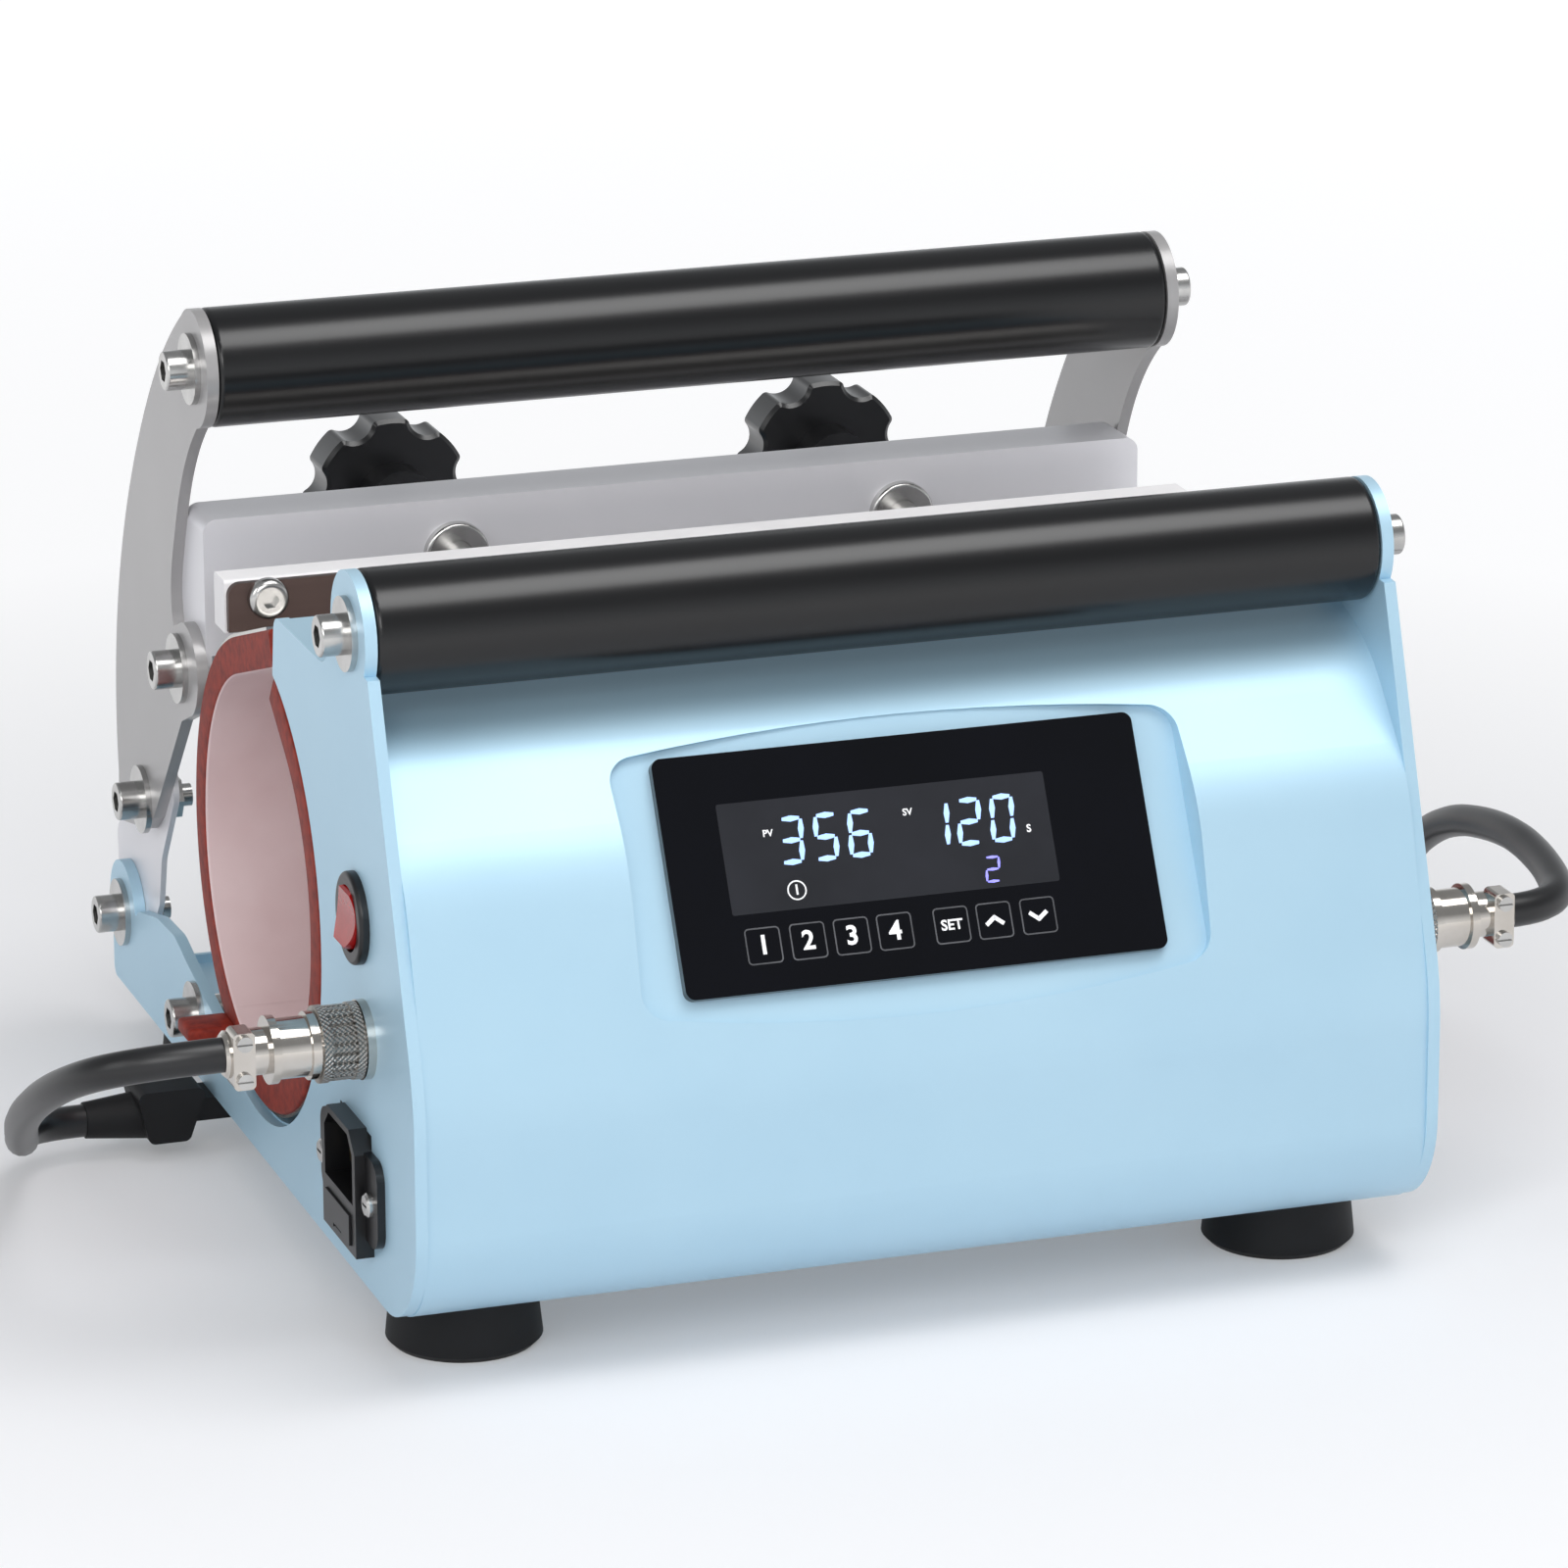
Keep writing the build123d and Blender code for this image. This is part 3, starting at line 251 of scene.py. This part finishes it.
# %% [markdown]
# ## Painted sheet metal
#
# The housing is folded steel sheet with a pale blue powder coat. The powder is melted on in an oven, which
# leaves a satin skin with a very fine orange peel, about half a millimetre from bump to bump. The clamp
# channel has the same kind of coat in light grey, and the two arms a darker silver grey.

# %% Powder coats
def powder_coat(name, light, dark, roughness, flake):
    """A baked powder coat: satin, with metal flake in it and a fine orange peel."""
    return worn(name, {
        "Base Color": linear(light), "Roughness": roughness, "Metallic": flake, "Coat Weight": 0.12,
        "Coat Roughness": 0.2}, light, dark, 60, 0.9, 0.006)


blue_coat = powder_coat("pale_blue_powder_coat", "#B6D7E9", "#B1D3E6", 0.47, 0.38)
grey_coat = powder_coat("light_grey_powder_coat", "#E6E5E9", "#E1E0E4", 0.40, 0.3)
arm_coat = powder_coat("silver_grey_powder_coat", "#A9A7A7", "#A3A1A1", 0.34, 0.3)
give(blue_coat, "left_side_plate", "right_side_plate", "front_cover", "top_shelf", "cradle", "base_tray")
give(grey_coat, "clamp_bracket")
give(arm_coat, "left_arm", "right_arm")

# %% [markdown]
# ## Screws, rods and plated parts
#
# Socket screws and washers are zinc-plated steel, which is bright but slightly blurred, with fine turning
# marks. The round cable connectors are nickel-plated brass and much shinier. The clamp strip is bare
# rolled steel, darker and drawn lengthwise.

# %% Metals
def plated(name, light, dark, roughness, patch, grain, depth, stretch=(1, 1, 1)):
    """A metal with slight patches and fine tool marks."""
    return worn(name, {"Base Color": linear(light), "Roughness": roughness, "Metallic": 1.0},
                light, dark, patch, grain, depth, stretch)


zinc = plated("zinc_plated_steel", "#C9C8C6", "#B5B4B2", 0.24, 8, 0.35, 0.002)
nickel = plated("nickel_plated_brass", "#CFCAC4", "#C2BCB4", 0.13, 10, 0.5, 0.001)
rolled = plated("rolled_steel_strip", "#5E504D", "#4E413E", 0.45, 14, 0.5, 0.003, (0.03, 1, 1))
foil = plated("bright_steel_foil", "#CDCBC8", "#BDBAB6", 0.22, 30, 0.8, 0.003, (0.05, 1, 1))
tin_brass = plated("tinned_brass_pins", "#CBB88A", "#B8A472", 0.25, 6, 0.3, 0.001)
give(zinc, "plate_screws", "plate_washers", "pivot_screws", "pivot_nuts", "arm_screws", "arm_washers",
     "arm_nuts", "foot_screws", "strip_screws", "inlet_screws", "cable_clamp_screws", "left_stud",
     "right_stud", "adjuster_bushes", "front_handle_tube", "rear_handle_tube", "tie_rod",
     "temperature_sensor")
give(nickel, "panel_sockets", "plug_bodies", "cable_clamps")
give(rolled, "clamp_strip")
give(tin_brass, "inlet_pins")

# %% [markdown]
# The coupling rings of the connectors are turned by hand, so their middle is knurled: a wheel presses rows
# of tiny diamonds into the plating. Two waves that run round the ring and cross each other make them, a
# little over a millimetre apart.

# %% Knurled rings
def knurled_ring(name, rings_y, rings_z, pitch=mm(1.3), teeth_round=44.0):
    """Nickel with crossed grooves round an axis along X."""
    material, shader = finish(name, {"Base Color": linear("#A9A5A0"), "Roughness": 0.3, "Metallic": 1.0})
    links = material.node_tree.links
    place = node(material, "ShaderNodeTexCoord")
    parts = node(material, "ShaderNodeSeparateXYZ", {"Vector": place.outputs["Object"]})
    from_y = node(material, "ShaderNodeMath", {0: parts.outputs["Y"], 1: rings_y}, operation="SUBTRACT")
    from_z = node(material, "ShaderNodeMath", {0: parts.outputs["Z"], 1: rings_z}, operation="SUBTRACT")
    round_it = node(material, "ShaderNodeMath", {0: from_z.outputs[0], 1: from_y.outputs[0]},
                    operation="ARCTAN2")
    along = node(material, "ShaderNodeMath", {0: parts.outputs["X"], 1: 2 * pi / pitch},
                 operation="MULTIPLY")
    teeth = node(material, "ShaderNodeMath", {0: round_it.outputs[0], 1: teeth_round}, operation="MULTIPLY")
    one = node(material, "ShaderNodeMath", {0: teeth.outputs[0], 1: along.outputs[0]}, operation="ADD")
    other = node(material, "ShaderNodeMath", {0: teeth.outputs[0], 1: along.outputs[0]},
                 operation="SUBTRACT")
    wave_one = node(material, "ShaderNodeMath", {0: one.outputs[0]}, operation="SINE")
    wave_other = node(material, "ShaderNodeMath", {0: other.outputs[0]}, operation="SINE")
    height = node(material, "ShaderNodeMath", {0: wave_one.outputs[0], 1: wave_other.outputs[0]},
                  operation="ADD")
    bump = node(material, "ShaderNodeBump", {"Height": height.outputs[0], "Distance": mm(0.16)})
    links.new(bump.outputs["Normal"], shader.inputs["Normal"])
    return material


knurl = knurled_ring("knurled_nickel", mm(connector_y), mm(connector_z))
give(knurl, "left_plug_ring", "right_plug_ring")

# %% [markdown]
# ## Rubber and moulded plastic
#
# The two grips are black foam-rubber sleeves, smooth but dull. Feet and boots are moulded rubber. The star
# knobs are glass-filled nylon, harder and with a clearer highlight. The switch, the inlet and its drawer are
# moulded plastic too.

# %% Blacks
def moulded(name, light, dark, roughness, grain, depth, coat=0.0, gloss=0.5):
    """A moulded rubber or plastic with a fine grain; 0.5 is a plastic's usual gloss."""
    return worn(name, {
        "Base Color": linear(light), "Roughness": roughness, "Coat Weight": coat, "Coat Roughness": 0.25,
        "Specular IOR Level": gloss}, light, dark, 25, grain, depth)


sleeve_rubber = moulded("foam_rubber_sleeve", "#0A0A0C", "#070709", 0.27, 0.7, 0.004, gloss=0.5)
foot_rubber = moulded("moulded_rubber", "#161618", "#101012", 0.6, 0.8, 0.02, gloss=0.3)
knob_nylon = moulded("glass_filled_nylon", "#141416", "#0F0F11", 0.30, 0.8, 0.012, 0.2)
case_plastic = moulded("black_polyester_moulding", "#131315", "#0E0E10", 0.36, 0.6, 0.006)
white_board = moulded("white_insulating_board", "#F3F1F2", "#EBE9EA", 0.55, 1.2, 0.012)
grey_plastic = moulded("grey_module_plastic", "#6A6C70", "#5E6064", 0.5, 0.6, 0.006)
green_board = moulded("green_circuit_board", "#1F6B45", "#1A5E3C", 0.35, 1.5, 0.004, 0.4)
green_plastic = moulded("green_terminal_plastic", "#3C9A55", "#348A4B", 0.4, 0.6, 0.006)
iron_core = moulded("varnished_iron_core", "#4A423B", "#3C352F", 0.4, 0.5, 0.02, 0.3)
give(sleeve_rubber, "front_handle_sleeve", "rear_handle_sleeve")
give(foot_rubber, "rubber_feet", "cable_boots")
give(knob_nylon, "left_knob", "right_knob")
give(case_plastic, "switch_bezel", "inlet_housing", "fuse_drawer", "front_handle_plugs",
     "rear_handle_plugs", "power_relay")
give(white_board, "insulating_bar")
give(grey_plastic, "display_module", "board_standoffs")
give(green_board, "control_board")
give(green_plastic, "terminal_block")
give(iron_core, "transformer")

# %% [markdown]
# The rocker is red see-through plastic with a lamp behind it, so it looks deep red and glossy. The fuse is a
# glass tube. The display panel is a sheet of glossy black acrylic.

# %% Glossy pieces
rocker_red = worn("glossy_red_rocker", {
    "Base Color": linear("#A81010"), "Roughness": 0.22, "Coat Weight": 0.1, "Coat Roughness": 0.08},
    "#B01111", "#960C0C", 6, 0.5, 0.002)
clear_tube = worn("fuse_glass", {
    "Base Color": linear("#E6EDEC"), "Roughness": 0.05, "Transmission Weight": 0.9, "IOR": 1.5},
    "#E8EFEE", "#DDE6E4", 5, 0.5, 0.001)
panel_black = worn("black_acrylic_panel", {
    "Base Color": linear("#05060C"), "Roughness": 0.1, "Specular IOR Level": 0.3},
    "#06070E", "#04050A", 30, 1.5, 0.001)
give(rocker_red, "rocker_button")
give(clear_tube, "fuse")
give(panel_black, "display_glass")

# %% [markdown]
# ## The heater mat
#
# The heater is a thick silicone mat, bent into a C that laps over itself at the top. Outside it is brick red
# with a bright steel foil behind it; inside it has a pale pink working face. A band like this is easiest to
# make by spinning: one upright rectangle, the mat's cut end, is spun about the heater's axis, and then
# pulled straight where the mat leaves the circle. The mat bends when the clamp opens, so it is made in three
# lengths that meet: one that stays on the base, one in the middle that rides on no body, and one that goes
# with the clamp.

# %% Silicone finishes
brick_silicone = worn("brick_red_silicone", {
    "Base Color": linear("#86281E"), "Roughness": 0.6, "Specular IOR Level": 0.3},
    "#96301F", "#6E1D15", 3, 1.0, 0.05)
pink_silicone = worn("pale_pink_silicone", {
    "Base Color": linear("#E2CACA"), "Roughness": 0.6, "Sheen Weight": 0.1},
    "#E6D0D0", "#DBC1C1", 30, 1.2, 0.02)

# %% Bands by spinning
def ring_spot(radius, angle, x=0.0):
    """A point round the heater's axis; 0 degrees is to the rear and 90 is up."""
    a = radians(angle)
    return Vector((x, ring_axis.y + radius * cos(a), ring_axis.z + radius * sin(a)))


def stretch_end(band, end, run):
    """Pull an end face straight out in equal parts, and leave no wall behind."""
    parts = 6
    for _ in range(parts):
        grown = bmesh.ops.extrude_face_region(band, geom=[end])
        if end.is_valid:
            bmesh.ops.delete(band, geom=[end], context="FACES_ONLY")
        end = next(item for item in grown["geom"] if isinstance(item, bmesh.types.BMFace))
        bmesh.ops.translate(band, vec=run / parts, verts=end.verts)


def spin_band(inner, outer, half, start, end, front_run=0.0, rear_run=0.0, corner=0.0):
    """A C-shaped band whose cut end is spun about the heater's axis and then pulled straight."""
    band = bmesh.new()
    spots = [ring_spot(inner, start, -half), ring_spot(outer, start, -half),
             ring_spot(outer, start, half), ring_spot(inner, start, half)]
    band.faces.new([band.verts.new(spot) for spot in spots])
    if corner:
        bmesh.ops.bevel(band, geom=band.verts[:], offset=corner, offset_type="OFFSET", segments=4,
                        profile=0.5, affect="VERTICES", material=-1)
    band.faces.ensure_lookup_table()
    first = band.faces[0]
    spun = bmesh.ops.spin(band, geom=[first], cent=ring_axis, axis=(1, 0, 0), angle=radians(end - start),
                          steps=round((end - start) / 2.5))
    last = next(item for item in spun["geom_last"] if isinstance(item, bmesh.types.BMFace))
    if front_run:
        a = radians(start)
        stretch_end(band, first, Vector((0, sin(a), -cos(a))) * front_run)
    if rear_run:
        a = radians(end)
        stretch_end(band, last, Vector((0, -sin(a), cos(a))) * rear_run)
    bmesh.ops.recalc_face_normals(band, faces=band.faces)
    return band


def cut_level(band, height, keep_below, rear_from=mm(15)):
    """Cut a band off at a level and close the cut; only what lies to the rear is cut."""
    rear = [face for face in band.faces if face.calc_center_median().y > ring_axis.y + rear_from]
    near = {item for face in rear for item in (face, *face.edges, *face.verts)}
    cut = bmesh.ops.bisect_plane(band, geom=list(near), plane_co=(0, 0, height), plane_no=(0, 0, 1),
                                 dist=mm(0.001), clear_outer=keep_below, clear_inner=not keep_below)
    rim = [item for item in cut["geom_cut"] if isinstance(item, bmesh.types.BMEdge)]
    bmesh.ops.holes_fill(band, edges=rim, sides=0)
    bmesh.ops.recalc_face_normals(band, faces=band.faces)


def make_piece(name, shape, finishes, body=None):
    """Turn a shape into a smooth-shaded piece; a body is what it rides on."""
    mesh = bpy.data.meshes.new(name)
    shape.to_mesh(mesh)
    shape.free()
    mesh.shade_smooth()
    mesh.set_sharp_from_angle(angle=radians(40))
    for material in finishes:
        mesh.materials.append(material)
    piece = bpy.data.objects.new(name, mesh)
    bpy.context.scene.collection.objects.link(piece)
    if body:
        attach(piece, body)
    return piece


looks_inward = 0.6  # how nearly a face must point at the axis


def colour_inside(band):
    """Give the faces that look at the heater's axis the second finish."""
    for face in band.faces:
        centre = face.calc_center_median()
        inward = (ring_axis - Vector((0, centre.y, centre.z))).normalized()
        if face.normal.dot(inward) > looks_inward:
            face.material_index = 1

# %% [markdown]
# The mat stays on the base from its front end to the rear bottom, bends behind the heater, and goes with the
# clamp from there up. The three lengths are parted by level cuts, and each length is a closed shape.

# %% Mat and foil lengths
mat_outer = bore_radius + mat_thickness
foil_outer = mat_outer + foil_thickness
foil_half = half_length - mm(1)
bend_low = mm(46)
bend_high = mm(117.3)
mat_corner = mm(1)
foil_first = 128
foil_longest_run = mm(32)
# the body, the first and the last angle, and the straight runs at the front and the rear
lengths = {"fixed": ("base", 126, 320, mm(16), 0),
           "bend": (None, 292, 404, 0, 0),
           "flap": ("clamp_frame", 382, 432, 0, mm(38))}
bands = {}
for name, (body, start, end, front_run, rear_run) in lengths.items():
    mat = spin_band(bore_radius, mat_outer, half_length, start, end, front_run, rear_run, mat_corner)
    sheet = spin_band(mat_outer, foil_outer, foil_half, max(start, foil_first), end,
                      rear_run=min(rear_run, foil_longest_run))
    for shape in (mat, sheet):
        if name != "flap":
            cut_level(shape, bend_low, name == "fixed")
        if name != "fixed":
            cut_level(shape, bend_high, name == "bend")
    colour_inside(mat)
    bands["mat_" + name] = make_piece("heater_mat_" + name, mat, [brick_silicone, pink_silicone], body)
    bands["foil_" + name] = make_piece("mat_foil_" + name, sheet, [foil], body)
for name in ("mat_bend", "foil_bend"):
    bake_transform(bands[name])
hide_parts("heater_wrap")
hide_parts("wrap_shell")
print("faces of the mat and foil:", {name: len(piece.data.polygons) for name, piece in bands.items()})

# %% [markdown]
# At the left end a tongue of the mat sticks out below: the heating wires leave through it. It is a small flat
# pad with soft corners.

# %% Lead-out tongue
tongue = bmesh.new()
bmesh.ops.create_cube(tongue, size=1.0)
bmesh.ops.scale(tongue, vec=mm(13.0, 12.0, 3.8), verts=tongue.verts)
bmesh.ops.translate(tongue, vec=mm(-134.4, 20.0, 39.9), verts=tongue.verts)
bmesh.ops.bevel(tongue, geom=tongue.edges, offset=mm(1.2), offset_type="OFFSET", segments=3, profile=0.5,
                affect="EDGES", material=-1)
tongue_piece = make_piece("mat_lead_tongue", tongue, [brick_silicone], "base")

# %% [markdown]
# ## The cables
#
# A round cable joins each connector to the mat. It is soft silicone cable, about eight millimetres thick, so
# it swings out in an easy loop and comes back to a moulded boot beside the base. A NURBS curve through the
# same route that the drawing has gives that loop without corners, and a round bevel gives it thickness.

# %% Cable finish
cable_black = worn("silicone_cable_sheath", {
    "Base Color": linear("#151517"), "Roughness": 0.38, "Coat Weight": 0.1, "Coat Roughness": 0.3},
    "#18181A", "#111113", 12, 1.0, 0.012)

# %% Cable curves
left_points = [(-164.2, connector_y, connector_z), (-187.0, connector_y, connector_z),
               (-199.0, -88.0, 68.0), (-198.0, -44.0, 45.0), (-187.0, 2.0, 21.0), (-179.0, 42.0, 11.0),
               (-162.0, 42.0, 11.0)]
right_points = [(164.2, connector_y, connector_z), (179.0, connector_y, connector_z),
                (188.0, -84.0, 80.0), (193.0, -46.0, 79.0), (194.0, 0.0, 68.0), (195.0, 36.0, 40.0),
                (183.0, 42.0, 11.0), (162.0, 42.0, 11.0)]


def make_cable(name, points, node_name):
    """A round cable along a smooth curve."""
    curve = bpy.data.curves.new(name, "CURVE")
    curve.dimensions = "3D"
    curve.bevel_depth = mm(4.2)
    curve.bevel_resolution = 6
    curve.resolution_u = 10
    curve.use_fill_caps = True
    spline = curve.splines.new("NURBS")
    spline.points.add(len(points) - 1)
    for point, place in zip(spline.points, points):
        point.co = (*mm(*place), 1.0)
    spline.order_u = 3
    spline.use_endpoint_u = True
    curve.materials.append(cable_black)
    piece = bpy.data.objects.new(name, curve)
    bpy.context.scene.collection.objects.link(piece)
    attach(piece, "base")
    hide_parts(node_name)
    return piece


make_cable("left_heater_cable", left_points, "left_cable")
make_cable("right_heater_cable", right_points, "right_cable")

# %% [markdown]
# ## The display
#
# Behind the black panel sits a small display: a dark grey window with pale blue figures, and below it seven
# touch keys printed on the panel. All of it is flat work on a tilted plane, so one matrix carries a drawing
# made flat, in millimetres across and up the panel, onto the panel's face.

# %% The panel's plane
tilt = radians(28)
panel_centre = mm(0, -131.75, 117.5)
panel_across = Vector((1, 0, 0))
panel_up = Vector((0, sin(tilt), cos(tilt)))
panel_out = Vector((0, -cos(tilt), sin(tilt)))
panel_turn = Matrix((panel_across, panel_up, panel_out)).transposed()
to_panel = Matrix.Translation(panel_centre) @ panel_turn.to_4x4()
frame_lift = 0.06  # how far the print stands off the panel, in millimetres
print_lift = 0.08


def put_on_panel(name, flat, material):
    """Carry a flat drawing onto the panel and make it a piece."""
    bmesh.ops.transform(flat, matrix=to_panel, verts=flat.verts)
    mesh = bpy.data.meshes.new(name)
    flat.to_mesh(mesh)
    flat.free()
    mesh.materials.append(material)
    piece = bpy.data.objects.new(name, mesh)
    bpy.context.scene.collection.objects.link(piece)
    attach(piece, "base")
    return piece


def rounded_plate(flat, centre, size, corner, low, high):
    """Add a thin plate with rounded corners to a flat drawing, all in millimetres."""
    made = bmesh.ops.create_cube(flat, size=1.0)["verts"]
    bmesh.ops.scale(flat, vec=(mm(size[0]), mm(size[1]), mm(high - low)), verts=made)
    bmesh.ops.translate(flat, vec=mm(centre[0], centre[1], (low + high) / 2), verts=made)
    uprights = {edge for vert in made for edge in vert.link_edges
                if abs(edge.verts[0].co.z - edge.verts[1].co.z) > mm(0.001)}
    bmesh.ops.bevel(flat, geom=list(uprights), offset=mm(corner), offset_type="OFFSET", segments=5,
                    profile=0.5, affect="EDGES", material=-1)

# %% Window and keys
window_grey = worn("smoked_window", {
    "Base Color": linear("#2A2B30"), "Roughness": 0.2, "Specular IOR Level": 0.3},
    "#2D2E33", "#27282C", 25, 1.5, 0.001)
window = bmesh.new()
rounded_plate(window, centre=(-5.2, 3.3), size=(82.2, 26.8), corner=0.6, low=0.0, high=0.05)
put_on_panel("display_window", window, window_grey)

key_line = worn("grey_key_print", {"Base Color": linear("#55565A"), "Roughness": 0.35},
                "#606165", "#47484B", 10, 1.0, 0.001)
key_places = [-39.8, -28.7, -17.8, -7.0, 7.2, 18.0, 29.1]
key_height = -17.9
keys = bmesh.new()
for across in key_places:
    made = bmesh.ops.create_grid(keys, x_segments=1, y_segments=1, size=mm(4.4))["verts"]
    bmesh.ops.translate(keys, vec=mm(across, key_height, frame_lift), verts=made)
bmesh.ops.bevel(keys, geom=keys.verts[:], offset=mm(1.1), offset_type="OFFSET", segments=4, profile=0.5,
                affect="VERTICES", material=-1)
bmesh.ops.inset_individual(keys, faces=keys.faces[:], thickness=mm(0.35), use_even_offset=True)
hollow = [face for face in keys.faces if len(face.verts) > 4]
bmesh.ops.delete(keys, geom=hollow, context="FACES")
put_on_panel("key_frames", keys, key_line)

# %% [markdown]
# The figures are seven-segment ones. Each lit bar is a stretched hexagon, made from a six-sided disc, and
# the figures lean a little to the right. The same bars in the window's own dark grey would be the unlit ones,
# which the real window hides.

# %% Figures
lit_blue = worn("lit_figures", {
    "Base Color": linear("#8FB4F0"), "Roughness": 0.4, "Emission Color": linear("#B4D0FF"),
    "Emission Strength": 0.75}, "#97BAF2", "#86ADEC", 3, 0.5, 0.001)
lit_violet = worn("lit_small_figure", {
    "Base Color": linear("#8F8CF0"), "Roughness": 0.4, "Emission Color": linear("#8583F2"),
    "Emission Strength": 0.8}, "#9794F4", "#7F7CE6", 3, 0.5, 0.001)
bars = {"a": (0, 1, 0), "b": (0.5, 0.5, 90), "c": (0.5, -0.5, 90), "d": (0, -1, 0),
        "e": (-0.5, -0.5, 90), "f": (-0.5, 0.5, 90), "g": (0, 0, 0)}
lit_bars = {"0": "abcdef", "1": "bc", "2": "abged", "3": "abgcd", "5": "afgcd", "6": "afgedc"}
lean_right = 0.10


def add_figure(flat, digit, across, up, height, width, stroke):
    """Add one seven-segment figure to a flat drawing."""
    for bar in lit_bars[digit]:
        bx, by, turn = bars[bar]
        length = width if turn == 0 else height / 2
        made = bmesh.ops.create_circle(flat, cap_ends=True, segments=6, radius=1.0)["verts"]
        bmesh.ops.rotate(flat, cent=(0, 0, 0), matrix=Matrix.Rotation(radians(60), 3, "Z"), verts=made)
        bmesh.ops.scale(flat, vec=(mm(stroke / 2), mm(stroke / 2), 1), verts=made)
        shift = mm(length / 2 - stroke * 0.62)
        for vert in made:
            vert.co.x += shift if vert.co.x > mm(0.01) else (-shift if vert.co.x < mm(-0.01) else 0)
        bmesh.ops.rotate(flat, cent=(0, 0, 0), matrix=Matrix.Rotation(radians(turn), 3, "Z"), verts=made)
        move = mm(bx * width, by * height / 2, print_lift)
        bmesh.ops.translate(flat, vec=move, verts=made)
        for vert in made:
            vert.co.x += vert.co.y * lean_right
        bmesh.ops.translate(flat, vec=mm(across, up, 0), verts=made)


figures = bmesh.new()
for digit, across in (("3", -29.0), ("5", -20.4), ("6", -11.8), ("1", 7.6), ("2", 15.6), ("0", 24.0)):
    add_figure(figures, digit, across, up=6.4, height=10.4, width=4.9, stroke=1.5)
put_on_panel("main_figures", figures, lit_blue)
small = bmesh.new()
add_figure(small, "2", across=19.6, up=-5.6, height=5.8, width=3.2, stroke=0.75)
put_on_panel("small_figure", small, lit_violet)

# %% [markdown]
# Letters and signs on the keys and in the window are text turned into a flat mesh. The arrows are two short
# bars each, and a ring goes round the program's number.

# %% Key signs
# The white print has a faint painted glow added to its white, so that it stays bright on the black panel.
white_print_painted_glow = worn("white_key_print_painted_glow", {
    "Base Color": linear("#E9EAEC"), "Roughness": 0.4, "Emission Color": linear("#E9EAEC"),
    "Emission Strength": 0.25}, "#F0F0F2", "#DFE0E3", 4, 0.5, 0.001)


def add_words(flat, words, across, up, size):
    """Add a centred line of text to a flat drawing."""
    text = bpy.data.curves.new("words", "FONT")
    text.body = words
    text.size = mm(size)
    text.align_x = "CENTER"
    text.align_y = "CENTER"
    text.resolution_u = 3
    text.offset = mm(size * 0.025)
    holder = bpy.data.objects.new("words", text)
    bpy.context.scene.collection.objects.link(holder)
    bpy.context.view_layer.update()
    mesh = bpy.data.meshes.new_from_object(holder.evaluated_get(bpy.context.evaluated_depsgraph_get()))
    mesh.transform(Matrix.Translation(mm(across, up, print_lift)))
    flat.from_mesh(mesh)
    bpy.data.objects.remove(holder)


sign_place = (-29.6, -5.6)
signs = bmesh.new()
for words, across in zip("1234", key_places):
    add_words(signs, words, across, key_height, size=6.4)
add_words(signs, "SET", key_places[4], key_height, size=3.5)
for across, flip in ((key_places[5], 1), (key_places[6], -1)):
    for half in (-1, 1):
        made = bmesh.ops.create_grid(signs, x_segments=1, y_segments=1, size=0.5)["verts"]
        bmesh.ops.scale(signs, vec=(mm(3.1), mm(1.0), 1), verts=made)
        turn = Matrix.Rotation(radians(-38 * half * flip), 3, "Z")
        bmesh.ops.rotate(signs, cent=(0, 0, 0), matrix=turn, verts=made)
        place = mm(across + half * 1.0, key_height, print_lift)
        bmesh.ops.translate(signs, vec=place, verts=made)
add_words(signs, "PV", -34.6, 8.6, size=2.3)
add_words(signs, "SV", 0.6, 10.2, size=2.3)
add_words(signs, "1", *sign_place, size=3.4)
add_words(signs, "S", 30.2, 3.2, size=2.6)
put_on_panel("key_signs", signs, white_print_painted_glow)
ring = bmesh.new()
outer_ring = bmesh.ops.create_circle(ring, cap_ends=True, segments=28, radius=mm(2.4))["verts"]
bmesh.ops.translate(ring, vec=mm(*sign_place, print_lift), verts=outer_ring)
bmesh.ops.inset_individual(ring, faces=ring.faces[:], thickness=mm(0.35))
bmesh.ops.delete(ring, geom=[face for face in ring.faces if len(face.verts) > 4], context="FACES")
put_on_panel("figure_ring", ring, white_print_painted_glow)

# %% [markdown]
# ## Last look
#
# Every solid of the frame must have a finish by now; the solids that have none are printed.

# %% Finish
undressed = sorted(set(nodes) - set(dressed) - {"heater_wrap", "wrap_shell", "left_cable", "right_cable"})
print("solids with no finish:", undressed)
